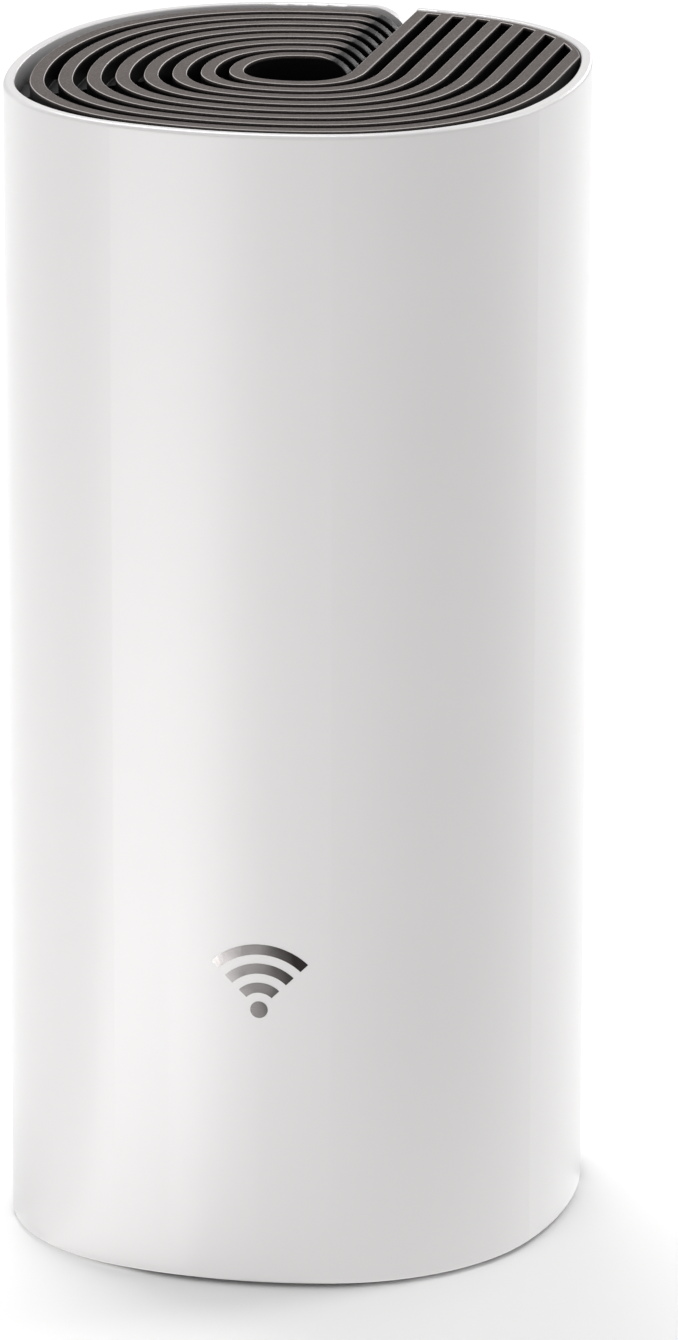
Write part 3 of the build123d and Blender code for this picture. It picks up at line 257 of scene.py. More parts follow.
@dataclass(frozen=True)
class Finish:
    """One moulded, plated, rolled or printed finish.

    Args:
        slot: the record's material slot.
        colour: middle colour.
        drift: share by which the colour wanders either way.
        drift_size: width of a lighter or darker patch, in metres.
        rough: lowest and highest roughness.
        relief: how the fine relief is laid.
        grain: width of one grain, in metres.
        depth: height of the relief, in metres.
        metal: 1 on bare metal.
        glow: share of light that the surface spreads inside itself.
        coat: share of clear coat.
        clear: share of light that passes through.
        specular: strength of the plain reflection, 0.5 for most plastics.
        title: name of the finish where it isn't the slot's own.
    """

    slot: str
    colour: Colour
    drift: float = 0.05
    drift_size: float = 0.012
    rough: Range = (0.42, 0.55)
    relief: Relief = Relief.GRAIN
    grain: float = 0.0004
    depth: float = 0.00001
    metal: float = 0.0
    glow: float = 0.0
    coat: float = 0.0
    clear: float = 0.0
    specular: float = 0.5
    title: str = ""

    def shade(self, share: float) -> Colour:
        """The colour made lighter or darker by a share."""
        return tuple(min(1.0, max(0.0, c * (1 + share))) for c in self.colour)

    def relief_height(self, bench: NodeBench) -> Socket:
        """Lays the fine relief.

        Args:
            bench: the material being made.

        Returns:
            The socket with its height.
        """
        if self.relief is Relief.SPARKED:
            pits = bench.span(bench.cells(self.grain), 0.0, 1.0, 0.0, PIT_REACH)
            return bench.math("MULTIPLY", pits, bench.noise(MOTTLE * self.grain, 3.0))
        if self.relief is Relief.DRAWN_UP:
            return bench.noise(self.grain, 3.0, (1, 1, STREAK))
        if self.relief is Relief.DRAWN_ACROSS:
            return bench.noise(self.grain, 3.0, (STREAK, 1, 1))
        if self.relief is Relief.SMOOTH:
            return bench.noise(SLOW_WAVE * self.grain, 1.0)
        return bench.noise(self.grain, 4.0)

    def pattern(self, bench: NodeBench, colour: Socket) -> Socket:
        """Colour detail that a finish adds; a plain finish adds none."""
        return colour

    def material(self) -> bpy.types.Material:
        """Makes the material once and hands the same one out after that.

        Returns:
            The finished material.
        """
        name = f"{self.title or self.slot}_finish"
        if name in bpy.data.materials:
            return bpy.data.materials[name]
        bench = NodeBench(name)
        shader = bench.shader
        wander = bench.span(bench.noise(self.drift_size, 4.0), 0.0, 1.0)
        colour = bench.between(wander, self.shade(-self.drift), self.shade(self.drift))
        height = self.relief_height(bench)
        bench.link(self.pattern(bench, colour), shader.inputs["Base Color"])
        bench.link(self.roughness(bench, height), shader.inputs["Roughness"])
        shader.inputs["Metallic"].default_value = self.metal
        shader.inputs["Specular IOR Level"].default_value = self.specular
        shader.inputs["Coat Weight"].default_value = self.coat
        shader.inputs["Coat Roughness"].default_value = COAT_ROUGHNESS
        shader.inputs["Transmission Weight"].default_value = self.clear
        shader.inputs["Subsurface Weight"].default_value = self.glow
        shader.inputs["Subsurface Radius"].default_value = SCATTER
        shader.inputs["Subsurface Scale"].default_value = SCATTER_REACH
        bench.bump(height, self.depth)
        return bench.material

    def roughness(self, bench: NodeBench, height: Socket) -> Socket:
        """Varies the roughness with handling and with the relief.

        Args:
            bench: the material being made.
            height: the fine relief.

        Returns:
            The socket with the roughness.
        """
        patches = bench.noise(HANDLED_SIZE * self.drift_size, 3.0)
        handled = bench.math("MULTIPLY", patches, HANDLED_SHARE)
        wear_and_edge_highlight = bench.math("ADD", handled, bench.math("MULTIPLY", height, 1 - HANDLED_SHARE))
        return bench.span(wear_and_edge_highlight, *self.rough)

    def dress(self, piece: bpy.types.Object) -> None:
        """Gives a piece this finish in place of any other."""
        piece.data.materials.clear()
        piece.data.materials.append(self.material())


@dataclass(frozen=True)
class BoardFinish(Finish):
    """Green solder mask over copper tracks, with scattered tinned pads.

    Args:
        track: distance from one track to the next, in metres.
        pad: distance from one pad to the next.
        bend: width of the patches in which the tracks bend together.
        swing: how far they bend, in tracks.
        routed: width of the patches with tracks.
        padded: width of the patches with pads.
        copper: colour of a track under the mask.
        tin: colour of a pad.
        track_edge: part of the wave across a track where it fades in.
        track_share: how strongly a track shows.
        routed_edge: noise at which tracks begin.
        pad_edge: distance from a pad's middle where it ends, in pads.
        padded_edge: noise at which pads begin.
    """

    track: float = 0.0011
    pad: float = 0.0026
    bend: float = 0.018
    swing: float = 6
    routed: float = 0.011
    padded: float = 0.009
    copper: Colour = (0.08, 0.30, 0.14)
    tin: Colour = (0.62, 0.60, 0.56)
    track_edge: Range = (0.2, 0.5)
    track_share: float = 0.55
    routed_edge: Range = (0.47, 0.52)
    pad_edge: Range = (0.13, 0.17)
    padded_edge: Range = (0.56, 0.58)

    def pattern(self, bench: NodeBench, colour: Socket) -> Socket:
        """Draws tracks as faint lighter bands and pads as small bright dots.

        Args:
            bench: the material being made.
            colour: the mask's own colour.

        Returns:
            The socket with the colour and its pattern.
        """
        bends = bench.math("MULTIPLY", bench.noise(self.bend, 0.0), self.swing * self.track)
        runs = bench.math("ADD", bench.axis("X"), bends)
        wave = bench.math("SINE", bench.math("MULTIPLY", runs, 2 * pi / self.track))
        tracks = bench.span(wave, 0.0, self.track_share, *self.track_edge)
        routed = bench.span(bench.noise(self.routed, 1.0), 0.0, 1.0, *self.routed_edge)
        tracked = bench.between(bench.math("MULTIPLY", tracks, routed), colour, self.copper)
        dots = bench.span(bench.cells(self.pad), 1.0, 0.0, *self.pad_edge)
        padded = bench.span(bench.noise(self.padded, 0.0), 0.0, 1.0, *self.padded_edge)
        return bench.between(bench.math("MULTIPLY", dots, padded), tracked, self.tin)


@dataclass(frozen=True)
class GrilleFinish(Finish):
    """Brown-grey plastic, grained on top and smooth on the sides, with painted shade deep in the
    gaps.

    Args:
        grained: roughness of the upward faces.
        shallow: depth below the rib tops where the painted shade in the gaps begins, in metres.
        deep: depth where the painted shade is darkest.
        dark: colour of the painted shade down there.
        wear_and_edge_highlight: colour of the burnished edges.
        speck: width of one speck of the grain.
        speck_edge: noise from dark speck to light speck.
        speck_shades: how much darker and lighter the specks are than the plastic.
        edge_start: lean at which the painted edge highlight fades in, from a wall.
        edge_end: lean at which it fades out, towards a flat top.
        flat_start: lean at which the grain begins.
    """

    grained: float = 0.60
    shallow: float = 0.00018
    deep: float = 0.0006
    dark: Colour = (0.0025, 0.0022, 0.0022)
    wear_and_edge_highlight: Colour = (0.58, 0.55, 0.54)
    speck: float = 0.00030
    speck_edge: Range = (0.35, 0.65)
    speck_shades: Range = (-0.55, 0.65)
    edge_start: Range = (0.15, 0.5)
    edge_end: Range = (0.85, 0.97)
    flat_start: Range = (0.93, 0.99)

    def pattern(self, bench: NodeBench, colour: Socket) -> Socket:
        """Speckles the plastic, paints highlights on its edges and paints shade down in the gaps.

        Args:
            bench: the material being made.
            colour: the plastic's own colour.

        Returns:
            The socket with the colour.
        """
        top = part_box("top_grille")[1].z
        darker, lighter = self.speck_shades
        specks = bench.span(bench.noise(self.speck, 2.0), 0.0, 1.0, *self.speck_edge)
        grained = bench.between(specks, self.shade(darker), self.shade(lighter))
        mixed = bench.between(specks, colour, grained)
        lean = self.lean(bench)
        # painted highlight: the slanted faces between a wall and a flat top get a light colour
        off_wall = bench.span(lean, 0.0, 1.0, *self.edge_start)
        off_top = bench.span(lean, 1.0, 0.0, *self.edge_end)
        edged = bench.between(bench.math("MULTIPLY", off_wall, off_top), mixed, self.wear_and_edge_highlight)
        # painted shade: the colour goes to near black the deeper it lies below the rib tops
        painted_gap_shade = bench.span(bench.axis("Z"), 1.0, 0.0, top - self.deep, top - self.shallow)
        return bench.between(painted_gap_shade, edged, self.dark)

    def lean(self, bench: NodeBench) -> Socket:
        """How much the surface faces up: 1 on a flat top, 0 on a wall."""
        return bench.axis("Z", bench.facing)

    def roughness(self, bench: NodeBench, height: Socket) -> Socket:
        """Rough on upward faces and smoother on the walls and the rolled ends.

        Args:
            bench: the material being made.
            height: the fine relief.

        Returns:
            The socket with the roughness.
        """
        smooth = super().roughness(bench, height)
        upward = bench.span(self.lean(bench), 0.0, 1.0, *self.flat_start)
        added = bench.math("MULTIPLY", upward, self.grained - self.rough[1])
        return bench.math("ADD", smooth, added)


@dataclass(frozen=True)
class FilmFinish(Finish):
    """Printed film with rows of broken grey bars in place of any words.

    Args:
        line: distance from one row to the next, in metres.
        bar: usual length of a bar.
        ink: colour of the bars.
        row_edge: part of the wave across a row where a bar fades in.
        bar_edge: noise at which a bar begins.
        upright: scale of the noise along Z, so small that a bar has straight ends.
    """

    line: float = 0.0016
    bar: float = 0.004
    ink: Colour = (0.42, 0.42, 0.43)
    row_edge: Range = (0.35, 0.45)
    bar_edge: Range = (0.46, 0.48)
    upright: float = 0.01

    def pattern(self, bench: NodeBench, colour: Socket) -> Socket:
        """Draws short grey bars in rows.

        Args:
            bench: the material being made.
            colour: the film's own colour.

        Returns:
            The socket with the colour and its bars.
        """
        rows = bench.math("SINE", bench.math("MULTIPLY", bench.axis("Z"), 2 * pi / self.line))
        bars = bench.span(rows, 0.0, 1.0, *self.row_edge)
        breaks = bench.noise(self.bar, 0.0, (1, 1, self.upright))
        broken = bench.span(breaks, 0.0, 1.0, *self.bar_edge)
        return bench.between(bench.math("MULTIPLY", bars, broken), colour, self.ink)


@dataclass(frozen=True)
class FoilFinish(Finish):
    """Hot-stamped foil with a painted reflection that runs from bright on one side to dark on the
    other.

    Args:
        bright_x: where the painted reflection is brightest, in metres.
        dark_x: where the painted reflection is darkest.
        dark: colour of the painted reflection there.
        patch: width of the patches in which the painted reflection strays.
        stray: how far it strays.
    """

    bright_x: float = -0.002
    dark_x: float = 0.010
    dark: Colour = (0.022, 0.018, 0.018)
    patch: float = 0.004
    stray: float = 0.001

    def pattern(self, bench: NodeBench, colour: Socket) -> Socket:
        """Paints a reflection that fades across the foil from bright to dark, a little unevenly.

        Args:
            bench: the material being made.
            colour: the foil's bright colour.

        Returns:
            The socket with the faded colour.
        """
        wander = bench.span(bench.noise(self.patch, 1.0), -1.0, 1.0)
        across = bench.math("ADD", bench.axis("X"), bench.math("MULTIPLY", wander, self.stray))
        # painted reflection: bright at bright_x, dark at dark_x
        painted_reflection = bench.span(across, 0.0, 1.0, self.bright_x, self.dark_x)
        return bench.between(painted_reflection, colour, self.dark)


FINISHES = {
    finish.slot: finish
    for finish in (
        Finish("white_plastic", (0.608, 0.596, 0.594), 0.008, 0.03, (0.34, 0.40), Relief.SMOOTH,
               0.0006, 0.000004, glow=0.06, coat=0.9),
        GrilleFinish("grille_plastic", (0.068, 0.056, 0.053), 0.10, 0.004, (0.34, 0.40),
                     Relief.SPARKED, 0.00035, 0.00002, specular=0.16),
        Finish("deck_plastic", (0.012, 0.012, 0.013), 0.10, 0.006, (0.55, 0.70), Relief.SPARKED,
               0.0004, 0.00002),
        Finish("tray_plastic", (0.62, 0.615, 0.60), 0.02, 0.02, (0.48, 0.58), Relief.SPARKED,
               0.0005, 0.000015, glow=0.04),
        Finish("rubber", (0.16, 0.16, 0.165), 0.08, 0.006, (0.70, 0.85), Relief.SPARKED,
               0.0005, 0.00003),
        FilmFinish("label_film", (0.72, 0.72, 0.71), 0.02, 0.01, (0.30, 0.36), Relief.SMOOTH,
                   0.0005, 0.000003),
        BoardFinish("circuit_board", (0.018, 0.115, 0.045), 0.12, 0.01, (0.30, 0.42),
                    Relief.SMOOTH, 0.0005, 0.000006, coat=0.3),
        Finish("chip_resin", (0.022, 0.022, 0.024), 0.15, 0.003, (0.45, 0.60), Relief.SPARKED,
               0.00025, 0.00001),
        Finish("thermal_pad", (0.38, 0.44, 0.56), 0.06, 0.003, (0.60, 0.75), Relief.GRAIN,
               0.0006, 0.00003),
        Finish("aluminium", (0.78, 0.79, 0.80), 0.04, 0.008, (0.26, 0.42), Relief.DRAWN_UP,
               0.0003, 0.000012, metal=1.0),
        Finish("tinned_steel", (0.66, 0.65, 0.62), 0.07, 0.004, (0.24, 0.42), Relief.DRAWN_ACROSS,
               0.00025, 0.00001, metal=1.0),
        Finish("contact_gold", (0.86, 0.62, 0.26), 0.06, 0.003, (0.18, 0.30), Relief.DRAWN_UP,
               0.0002, 0.000006, metal=1.0),
        Finish("socket_blue", (0.030, 0.135, 0.46), 0.08, 0.004, (0.40, 0.52), Relief.SPARKED,
               0.0004, 0.00001),
        Finish("black_plastic", (0.016, 0.016, 0.017), 0.12, 0.004, (0.40, 0.55), Relief.SPARKED,
               0.0004, 0.000014),
        Finish("red_plastic", (0.45, 0.028, 0.022), 0.06, 0.002, (0.34, 0.46), Relief.SMOOTH,
               0.0003, 0.000005),
        Finish("ivory_plastic", (0.66, 0.60, 0.46), 0.04, 0.002, (0.36, 0.48), Relief.SMOOTH,
               0.0003, 0.000005, glow=0.08),
        Finish("clear_plastic", (0.88, 0.90, 0.92), 0.02, 0.004, (0.22, 0.36), Relief.SMOOTH,
               0.0004, 0.000006, clear=0.75),
        Finish("spring_steel", (0.55, 0.55, 0.56), 0.06, 0.002, (0.22, 0.34), Relief.DRAWN_ACROSS,
               0.0002, 0.000006, metal=1.0),
        Finish("lead_jacket", (0.020, 0.020, 0.021), 0.12, 0.005, (0.38, 0.52), Relief.SMOOTH,
               0.0004, 0.00001),
        Finish("screw_steel", (0.58, 0.58, 0.60), 0.08, 0.002, (0.22, 0.38), Relief.GRAIN,
               0.0003, 0.00001, metal=1.0),
    )
}
MARK_FOIL = FoilFinish("spring_steel", (0.42, 0.40, 0.395), 0.10, 0.003, (0.20, 0.30),
                       Relief.DRAWN_ACROSS, 0.0002, 0.000004, metal=0.85, title="mark_foil")


def put_in_scene(name: str, data: bpy.types.ID) -> bpy.types.Object:
    """Makes an object and links it to the scene.

    Args:
        name: what the object is called.
        data: its mesh, light or camera.

    Returns:
        The object.
    """
    piece = bpy.data.objects.new(name, data)
    bpy.context.scene.collection.objects.link(piece)
    return piece


def make_piece(name: str, shape: bmesh.types.BMesh) -> bpy.types.Object:
    """Turns a finished shape into an object in the scene, and frees the shape.

    Args:
        name: what the object is called.
        shape: the shape.

    Returns:
        The object.
    """
    data = bpy.data.meshes.new(name)
    shape.to_mesh(data)
    shape.free()
    return put_in_scene(name, data)


def soften(piece: bpy.types.Object, width: float) -> None:
    """Rounds the sharp edges of a node without touching its own mesh.

    Args:
        piece: the node's object.
        width: size of the rounding, in metres.
    """
    weld = piece.modifiers.new("join_seams", "WELD")
    weld.merge_threshold = SEAM
    flat = piece.modifiers.new("flat_faces", "DECIMATE")
    flat.decimate_type = "DISSOLVE"
    flat.angle_limit = radians(FLAT_WITHIN)
    bevel = piece.modifiers.new("soft_edges", "BEVEL")
    bevel.width = width
    bevel.segments = ROUND_STEPS
    bevel.limit_method = "ANGLE"
    bevel.angle_limit = radians(SHARP_FROM)
    bevel.harden_normals = True
    bevel.use_clamp_overlap = False
    piece.modifiers.new("even_shading", "WEIGHTED_NORMAL").keep_sharp = True


@dataclass
class SubAssembly:
    """A group of nodes that are finished together.

    Args:
        title: what the group is called in the log.
        nodes: the CAD nodes in it.
        edge: size of the softened edges by node, in metres.
    """

    title: str
    nodes: tuple[str, ...]
    edge: dict[str, float] = field(default_factory=dict)

    def build(self) -> None:
        """Dresses each node in its slot's finish and softens the edges that are named."""
        for row in frame["record"]["subparts"]:
            if row["node"] in self.nodes:
                FINISHES[row["material_slot"]].dress(frame["nodes"][row["node"]])
        for name, width in self.edge.items():
            soften(frame["nodes"][name], width)
        LOG.info("%s: %d nodes", self.title, len(self.nodes))


def numbered(stem: str, count: int) -> tuple[str, ...]:
    """Names of a numbered row of nodes, counted from 1."""
    return tuple(f"{stem}_{index}" for index in range(1, count + 1))


@dataclass
class FrontMark:
    """Generic wireless symbol in foil, low on the front: a dot under three arcs.

    Args:
        centre_x: middle of the symbol, in metres.
        foot_z: height of the dot's centre.
        radii: middle radius of each arc.
        stroke: width of an arc.
        dot: radius of the dot.
        half_angle: how far an arc reaches to each side of straight up.
        film: how far the foil stands out of the wall, and how far it reaches into it.
        steps: flat pieces along an arc.
        dot_reach: share of the dot's radius that its outline reaches sideways. At all of it the
            end would have no width.
    """

    centre_x: float = 0.0050
    foot_z: float = 0.0472
    radii: tuple[float, ...] = (0.0037, 0.0069, 0.0101)
    stroke: float = 0.0017
    dot: float = 0.0014
    half_angle: float = radians(45)
    film: float = 0.00003
    steps: int = 24
    dot_reach: float = 0.998

    def wall_y(self, x: float, tree: BVHTree) -> float:
        """Where the sleeve's front face lies at a given x."""
        hit = tree.ray_cast(Vector((x, -0.2, self.foot_z)), Vector((0, 1, 0)))[0]
        return hit.y

    def strip(self, mesh: bmesh.types.BMesh, rows: Outline, tree: BVHTree) -> None:
        """Adds one closed film whose outline is given as pairs of points.

        Args:
            mesh: the mesh being made.
            rows: for each step along the film, its two edge points as (x, z).
            tree: search tree of the sleeve.
        """
        layers = []
        for lift in (self.film, -self.film):
            layers.append([
                [mesh.verts.new((x, self.wall_y(x, tree) - lift, z)) for x, z in row]
                for row in rows
            ])
        front, back = layers
        for near, far, near_back, far_back in zip(front, front[1:], back, back[1:]):
            mesh.faces.new((near[0], far[0], far[1], near[1]))
            mesh.faces.new((near_back[1], far_back[1], far_back[0], near_back[0]))
            mesh.faces.new((near[0], near_back[0], far_back[0], far[0]))
            mesh.faces.new((far[1], far_back[1], near_back[1], near[1]))
        mesh.faces.new((front[0][0], front[0][1], back[0][1], back[0][0]))
        mesh.faces.new((back[-1][0], back[-1][1], front[-1][1], front[-1][0]))

    def build(self) -> None:
        """Makes the dot and the arcs as one thin foil that rides on the housing."""
        sleeve = frame["nodes"]["outer_sleeve"]
        tree = BVHTree.FromObject(sleeve, bpy.context.evaluated_depsgraph_get())
        mesh = bmesh.new()
        for radius in self.radii:
            rows = []
            for index in range(self.steps + 1):
                angle = self.half_angle * (2 * index / self.steps - 1)
                rows.append([
                    (self.centre_x + r * sin(angle), self.foot_z + r * cos(angle))
                    for r in (radius - self.stroke / 2, radius + self.stroke / 2)
                ])
            self.strip(mesh, rows, tree)
        rows = []
        for index in range(self.steps + 1):
            aside = -self.dot_reach * cos(pi * index / self.steps) * self.dot
            half = (self.dot**2 - aside**2) ** 0.5
            rows.append([(self.centre_x + aside, self.foot_z + up) for up in (-half, half)])
        self.strip(mesh, rows, tree)
        bmesh.ops.recalc_face_normals(mesh, faces=mesh.faces)
        piece = make_piece("front_mark", mesh)
        MARK_FOIL.dress(piece)
        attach(piece, HOUSING)
        LOG.info("front mark: %d arcs and a dot", len(self.radii))


@dataclass
class SnapDome:
    """Thin sprung dome over the reset plunger; the button flattens it, but here it is built at rest.

    Args:
        sheet: thickness of the sprung steel, in metres.
        rings: steps from the middle to the rim.
        turns: steps round the dome.
    """

    sheet: float = 0.00012
    rings: int = 8
    turns: int = 48

    def build(self) -> None:
        """Makes the dome in its CAD node's place, at rest."""
        low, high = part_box("tact_dome")
        middle, radius, rise = (low + high) / 2, (high.x - low.x) / 2, high.z - low.z
        mesh = bmesh.new()
        skins = []
        for lift in (0.0, self.sheet):
            tip = mesh.verts.new((middle.x, middle.y, low.z + lift))
            rows = []
            for ring in range(1, self.rings + 1):
                share = ring / self.rings
                z = low.z + lift + (rise - self.sheet) * share**2
                reach = share * radius
                rows.append([
                    mesh.verts.new((middle.x + reach * sin(a), middle.y + reach * cos(a), z))
                    for a in (2 * pi * turn / self.turns for turn in range(self.turns))
                ])
            for turn in range(self.turns):
                after = (turn + 1) % self.turns
                mesh.faces.new((tip, rows[0][turn], rows[0][after]))
                for near, far in zip(rows, rows[1:]):
                    mesh.faces.new((near[turn], far[turn], far[after], near[after]))
            skins.append(rows[-1])
        for turn in range(self.turns):
            after = (turn + 1) % self.turns
            mesh.faces.new((skins[0][turn], skins[1][turn], skins[1][after], skins[0][after]))
        bmesh.ops.recalc_face_normals(mesh, faces=mesh.faces)
        for face in mesh.faces:
            face.smooth = True
        piece = make_piece("snap_dome", mesh)
        FINISHES["spring_steel"].dress(piece)
        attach(piece, HOUSING)
        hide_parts("tact_dome")
        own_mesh(piece)
        LOG.info("snap dome: %.1f mm wide", 2 * radius / MM)


@dataclass
class Lamp:
    """One softbox of the studio.

    Args:
        name: what it is called.
        place: where it stands, in metres.
        aim: the point it faces.
        size: its width and height.
        watts: its power.
    """

    name: str
    place: Triple
    aim: Triple
    size: tuple[float, float]
    watts: float

    def build(self) -> None:
        """Makes the area light."""
        data = bpy.data.lights.new(self.name, "AREA")
        data.shape = "RECTANGLE"
        data.size, data.size_y = self.size
        data.energy = self.watts
        lamp = put_in_scene(self.name, data)
        lamp.location = self.place
        lamp.rotation_mode = "QUATERNION"
        away = Vector(self.place) - Vector(self.aim)
        lamp.rotation_quaternion = away.to_track_quat("Z", "Y")


@dataclass
class GlowCard:
    """A lit wedge that lies on the floor in front of the node and gives its side a soft bright band.

    Args:
        name: what it is called.
        heading: which way the wedge runs from the node, in degrees from -Y towards +X.
        half_angle: how far it spreads to each side, in degrees.
        start: where it begins, from the node's axis, in metres.
        reach: where it ends.
        height: how far it lies above the floor.
        power: brightness of its upper side.
        ramp: where it has reached its full brightness.
        dim: share of the brightness where it begins.
        steps: flat pieces round its curved ends.
    """

    name: str
    heading: float
    half_angle: float
    start: float
    reach: float
    height: float
    power: float
    ramp: float
    dim: float
    steps: int = 16

    def build(self) -> None:
        """Lays the wedge, lit on top, clear from below and out of sight of the camera."""
        mesh = bmesh.new()
        rows = []
        for index in range(self.steps + 1):
            angle = radians(self.heading + self.half_angle * (2 * index / self.steps - 1))
            rows.append([
                mesh.verts.new((r * sin(angle), -r * cos(angle), self.height))
                for r in (self.start, self.reach)
            ])
        for first, second in zip(rows, rows[1:]):
            mesh.faces.new((first[0], first[1], second[1], second[0]))
        bmesh.ops.recalc_face_normals(mesh, faces=mesh.faces)
        if next(iter(mesh.faces)).normal.z < 0:
            bmesh.ops.reverse_faces(mesh, faces=mesh.faces)
        piece = make_piece(self.name, mesh)
        piece.data.materials.append(self.material())
        piece.visible_camera = False
        piece.visible_shadow = False

    def material(self) -> bpy.types.Material:
        """Makes the light: dimmer near the node, and clear from below.

        Returns:
            The finished material.
        """
        bench = NodeBench(self.name)
        tree = bench.tree
        away = tree.nodes.new("ShaderNodeVectorMath")
        away.operation = "LENGTH"
        bench.link(bench.place, away.inputs[0])
        full, distance = self.power, away.outputs["Value"]
        power = bench.span(distance, self.dim * full, full, self.start, self.ramp)
        lit = tree.nodes.new("ShaderNodeEmission")
        clear = tree.nodes.new("ShaderNodeBsdfTransparent")
        bench.link(power, lit.inputs["Strength"])
        mix = tree.nodes.new("ShaderNodeMixShader")
        side = tree.nodes.new("ShaderNodeNewGeometry")
        output = bench.shader.outputs["BSDF"].links[0].to_socket
        tree.nodes.remove(bench.shader)
        bench.link(side.outputs["Backfacing"], mix.inputs[0])
        bench.link(lit.outputs[0], mix.inputs[1])
        bench.link(clear.outputs[0], mix.inputs[2])
        bench.link(mix.outputs[0], output)
        return bench.material


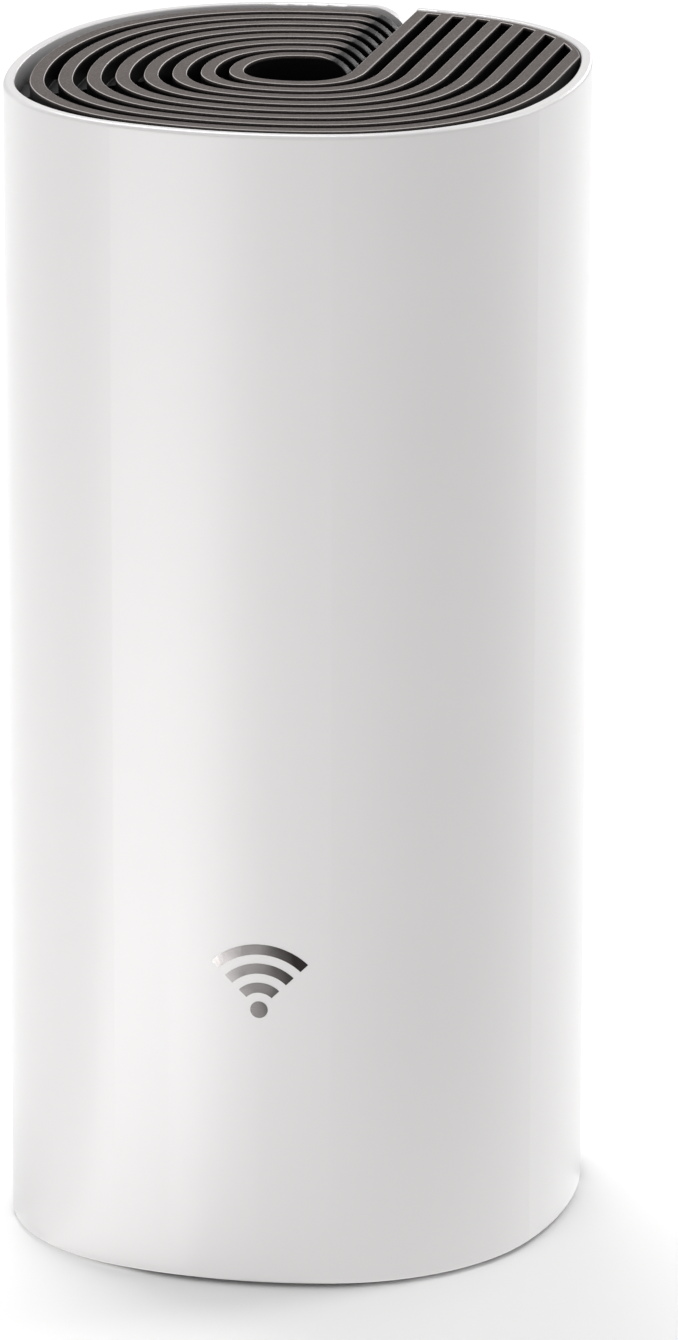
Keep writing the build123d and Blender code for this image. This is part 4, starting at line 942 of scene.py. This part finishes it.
@dataclass
class Studio:
    """Pale floor, even surroundings, softboxes and the camera.

    Args:
        floor_half: half width of the floor.
        floor_drop: how far the floor lies under the foot.
        floor_squares: squares along each side of the floor.
        paper: darkest and lightest colour of the floor.
        paper_patch: width of a lighter or darker patch.
        paper_rough: its roughness.
        paper_shine: strength of its plain reflection.
        air: brightness of the surroundings.
        lens: focal length in millimetres.
        eye: where the camera stands.
        heading: turn of the view from straight along +Y towards -X, in degrees.
        dip: how far the view looks down, in degrees.
        roll: turn about the view, in degrees.
        lamps: the softboxes.
        cards: the lit wedges on the floor.
    """

    floor_half: float = 6.0
    floor_drop: float = 0.00005
    floor_squares: int = 8
    paper: tuple[Colour, Colour] = ((0.955, 0.955, 0.955), (0.975, 0.975, 0.975))
    paper_patch: float = 0.4
    paper_rough: float = 0.9
    paper_shine: float = 0.1
    air: float = 0.63
    lens: float = 240.70
    eye: Triple = (0.34279, -1.34188, 0.52555)
    heading: float = 14.061
    dip: float = 17.471
    roll: float = 0.145
    lamps: tuple[Lamp, ...] = (
        Lamp("left_softbox", (-0.85, 0.45, 0.40), (0, 0, 0.09), (0.25, 0.9), 0.7),
        Lamp("right_softbox", (0.72, 0.55, 0.75), (0, 0, 0.12), (0.35, 0.9), 2.6),
        Lamp("rim_softbox", (0.55, 0.35, 0.95), (0, 0, 0.19), (0.3, 0.3), 1.0),
        Lamp("top_softbox", (-0.35, 0.45, 1.10), (0, 0, 0.10), (0.6, 0.6), 7.2),
        Lamp("front_softbox", (-0.20, -0.85, 1.00), (0, 0, 0.10), (0.6, 0.3), 1.2),
        Lamp("back_softbox", (0.30, 0.95, 0.34), (0, 0, 0.19), (0.5, 0.16), 1.0),
    )
    cards: tuple[GlowCard, ...] = (
        GlowCard("side_glow", -27.0, 17.0, 0.050, 0.95, 0.0005, 3.4, 0.16, 0.5),
        GlowCard("foot_glow", 25.0, 85.0, 0.046, 0.12, 0.0004, 1.25, 0.12, 1.0),
    )

    def floor(self) -> None:
        """Lays a pale floor that ends far outside the view."""
        mesh = bmesh.new()
        squares = self.floor_squares
        bmesh.ops.create_grid(mesh, x_segments=squares, y_segments=squares, size=self.floor_half)
        bmesh.ops.translate(mesh, verts=mesh.verts, vec=(0, 0, -self.floor_drop))
        piece = make_piece("studio_floor", mesh)
        bench = NodeBench("studio_paper")
        paper = bench.between(bench.noise(self.paper_patch, 2.0), *self.paper)
        bench.link(paper, bench.shader.inputs["Base Color"])
        bench.shader.inputs["Roughness"].default_value = self.paper_rough
        bench.shader.inputs["Specular IOR Level"].default_value = self.paper_shine
        piece.data.materials.append(bench.material)

    def surroundings(self) -> None:
        """Fills the room with even white light."""
        world = bpy.data.worlds.new("studio_air")
        world.use_nodes = True
        light = world.node_tree.nodes["Background"].inputs
        light["Color"].default_value = (1, 1, 1, 1)
        light["Strength"].default_value = self.air
        bpy.context.scene.world = world
        bpy.context.scene.view_settings.view_transform = "Standard"

    def camera(self) -> None:
        """Stands the camera where the node is seen a little from its right and from above."""
        data = bpy.data.cameras.new("studio_camera")
        data.lens = self.lens
        data.sensor_width = FILM_WIDTH
        data.clip_start, data.clip_end = NEAR, FAR
        camera = put_in_scene("studio_camera", data)
        turn = Matrix.Rotation(radians(self.heading), 4, "Z")
        tilt = Matrix.Rotation(radians(90 - self.dip), 4, "X")
        lean = Matrix.Rotation(radians(self.roll), 4, "Z")
        camera.matrix_world = Matrix.Translation(self.eye) @ turn @ tilt @ lean
        bpy.context.scene.camera = camera

    def build(self) -> None:
        """Sets up the whole studio."""
        self.floor()
        self.surroundings()
        for lamp in self.lamps:
            lamp.build()
        for card in self.cards:
            card.build()
        self.camera()
        LOG.info("studio: %d softboxes and %d lit wedges", len(self.lamps), len(self.cards))


GROUPS = (
    SubAssembly("shell", ("outer_sleeve", "top_grille", "top_deck"), {"top_grille": 0.16 * MM}),
    SubAssembly("base", ("base_tray", "foot_ring", "rating_label", "left_rail", "right_rail"),
                {"base_tray": 0.2 * MM, "foot_ring": 0.2 * MM}),
    SubAssembly("sockets", (*numbered("network_socket", 2), *numbered("network_shell", 2),
                            *numbered("network_contacts", 2), "power_inlet", "inlet_pin",
                            "inlet_spring"),
                {"network_socket_1": 0.15 * MM, "network_socket_2": 0.15 * MM,
                 "power_inlet": 0.15 * MM}),
    SubAssembly("controls", ("power_slider", "switch_case", "switch_terminals", "reset_button",
                             "tact_case", "tact_plunger", "tact_dome"),
                {"power_slider": 0.1 * MM, "reset_button": 0.1 * MM}),
    SubAssembly("board", ("main_board", "processor", "processor_pad", "memory_chips", "power_coils",
                          "capacitors", "radio_shields", "radio_chips", "radio_pads",
                          "network_transformers"),
                {"capacitors": 0.15 * MM, "power_coils": 0.2 * MM, "processor": 0.05 * MM}),
    SubAssembly("cooling", ("front_heatsink", "rear_heatsink"),
                {"front_heatsink": 0.1 * MM, "rear_heatsink": 0.1 * MM}),
    SubAssembly("antennas", (*numbered("antenna", 6), *numbered("antenna_lead", 6), "lead_plugs",
                             "rear_antenna_carrier", "front_antenna_carrier")),
    SubAssembly("status light", ("status_led", "led_board", "light_pipe", "light_lead")),
    SubAssembly("fasteners", ("base_screws", "rail_screws", "deck_screws", "heatsink_screws")),
)


def main() -> None:
    """Builds the studio, finishes each sub-assembly in turn, and adds the mark and the dome."""
    logging.basicConfig(level=logging.INFO, format="%(name)s: %(message)s")
    Studio().build()
    for group in GROUPS:
        group.build()
    FrontMark().build()
    SnapDome().build()


if __name__ == "__main__":
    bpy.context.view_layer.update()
    main()
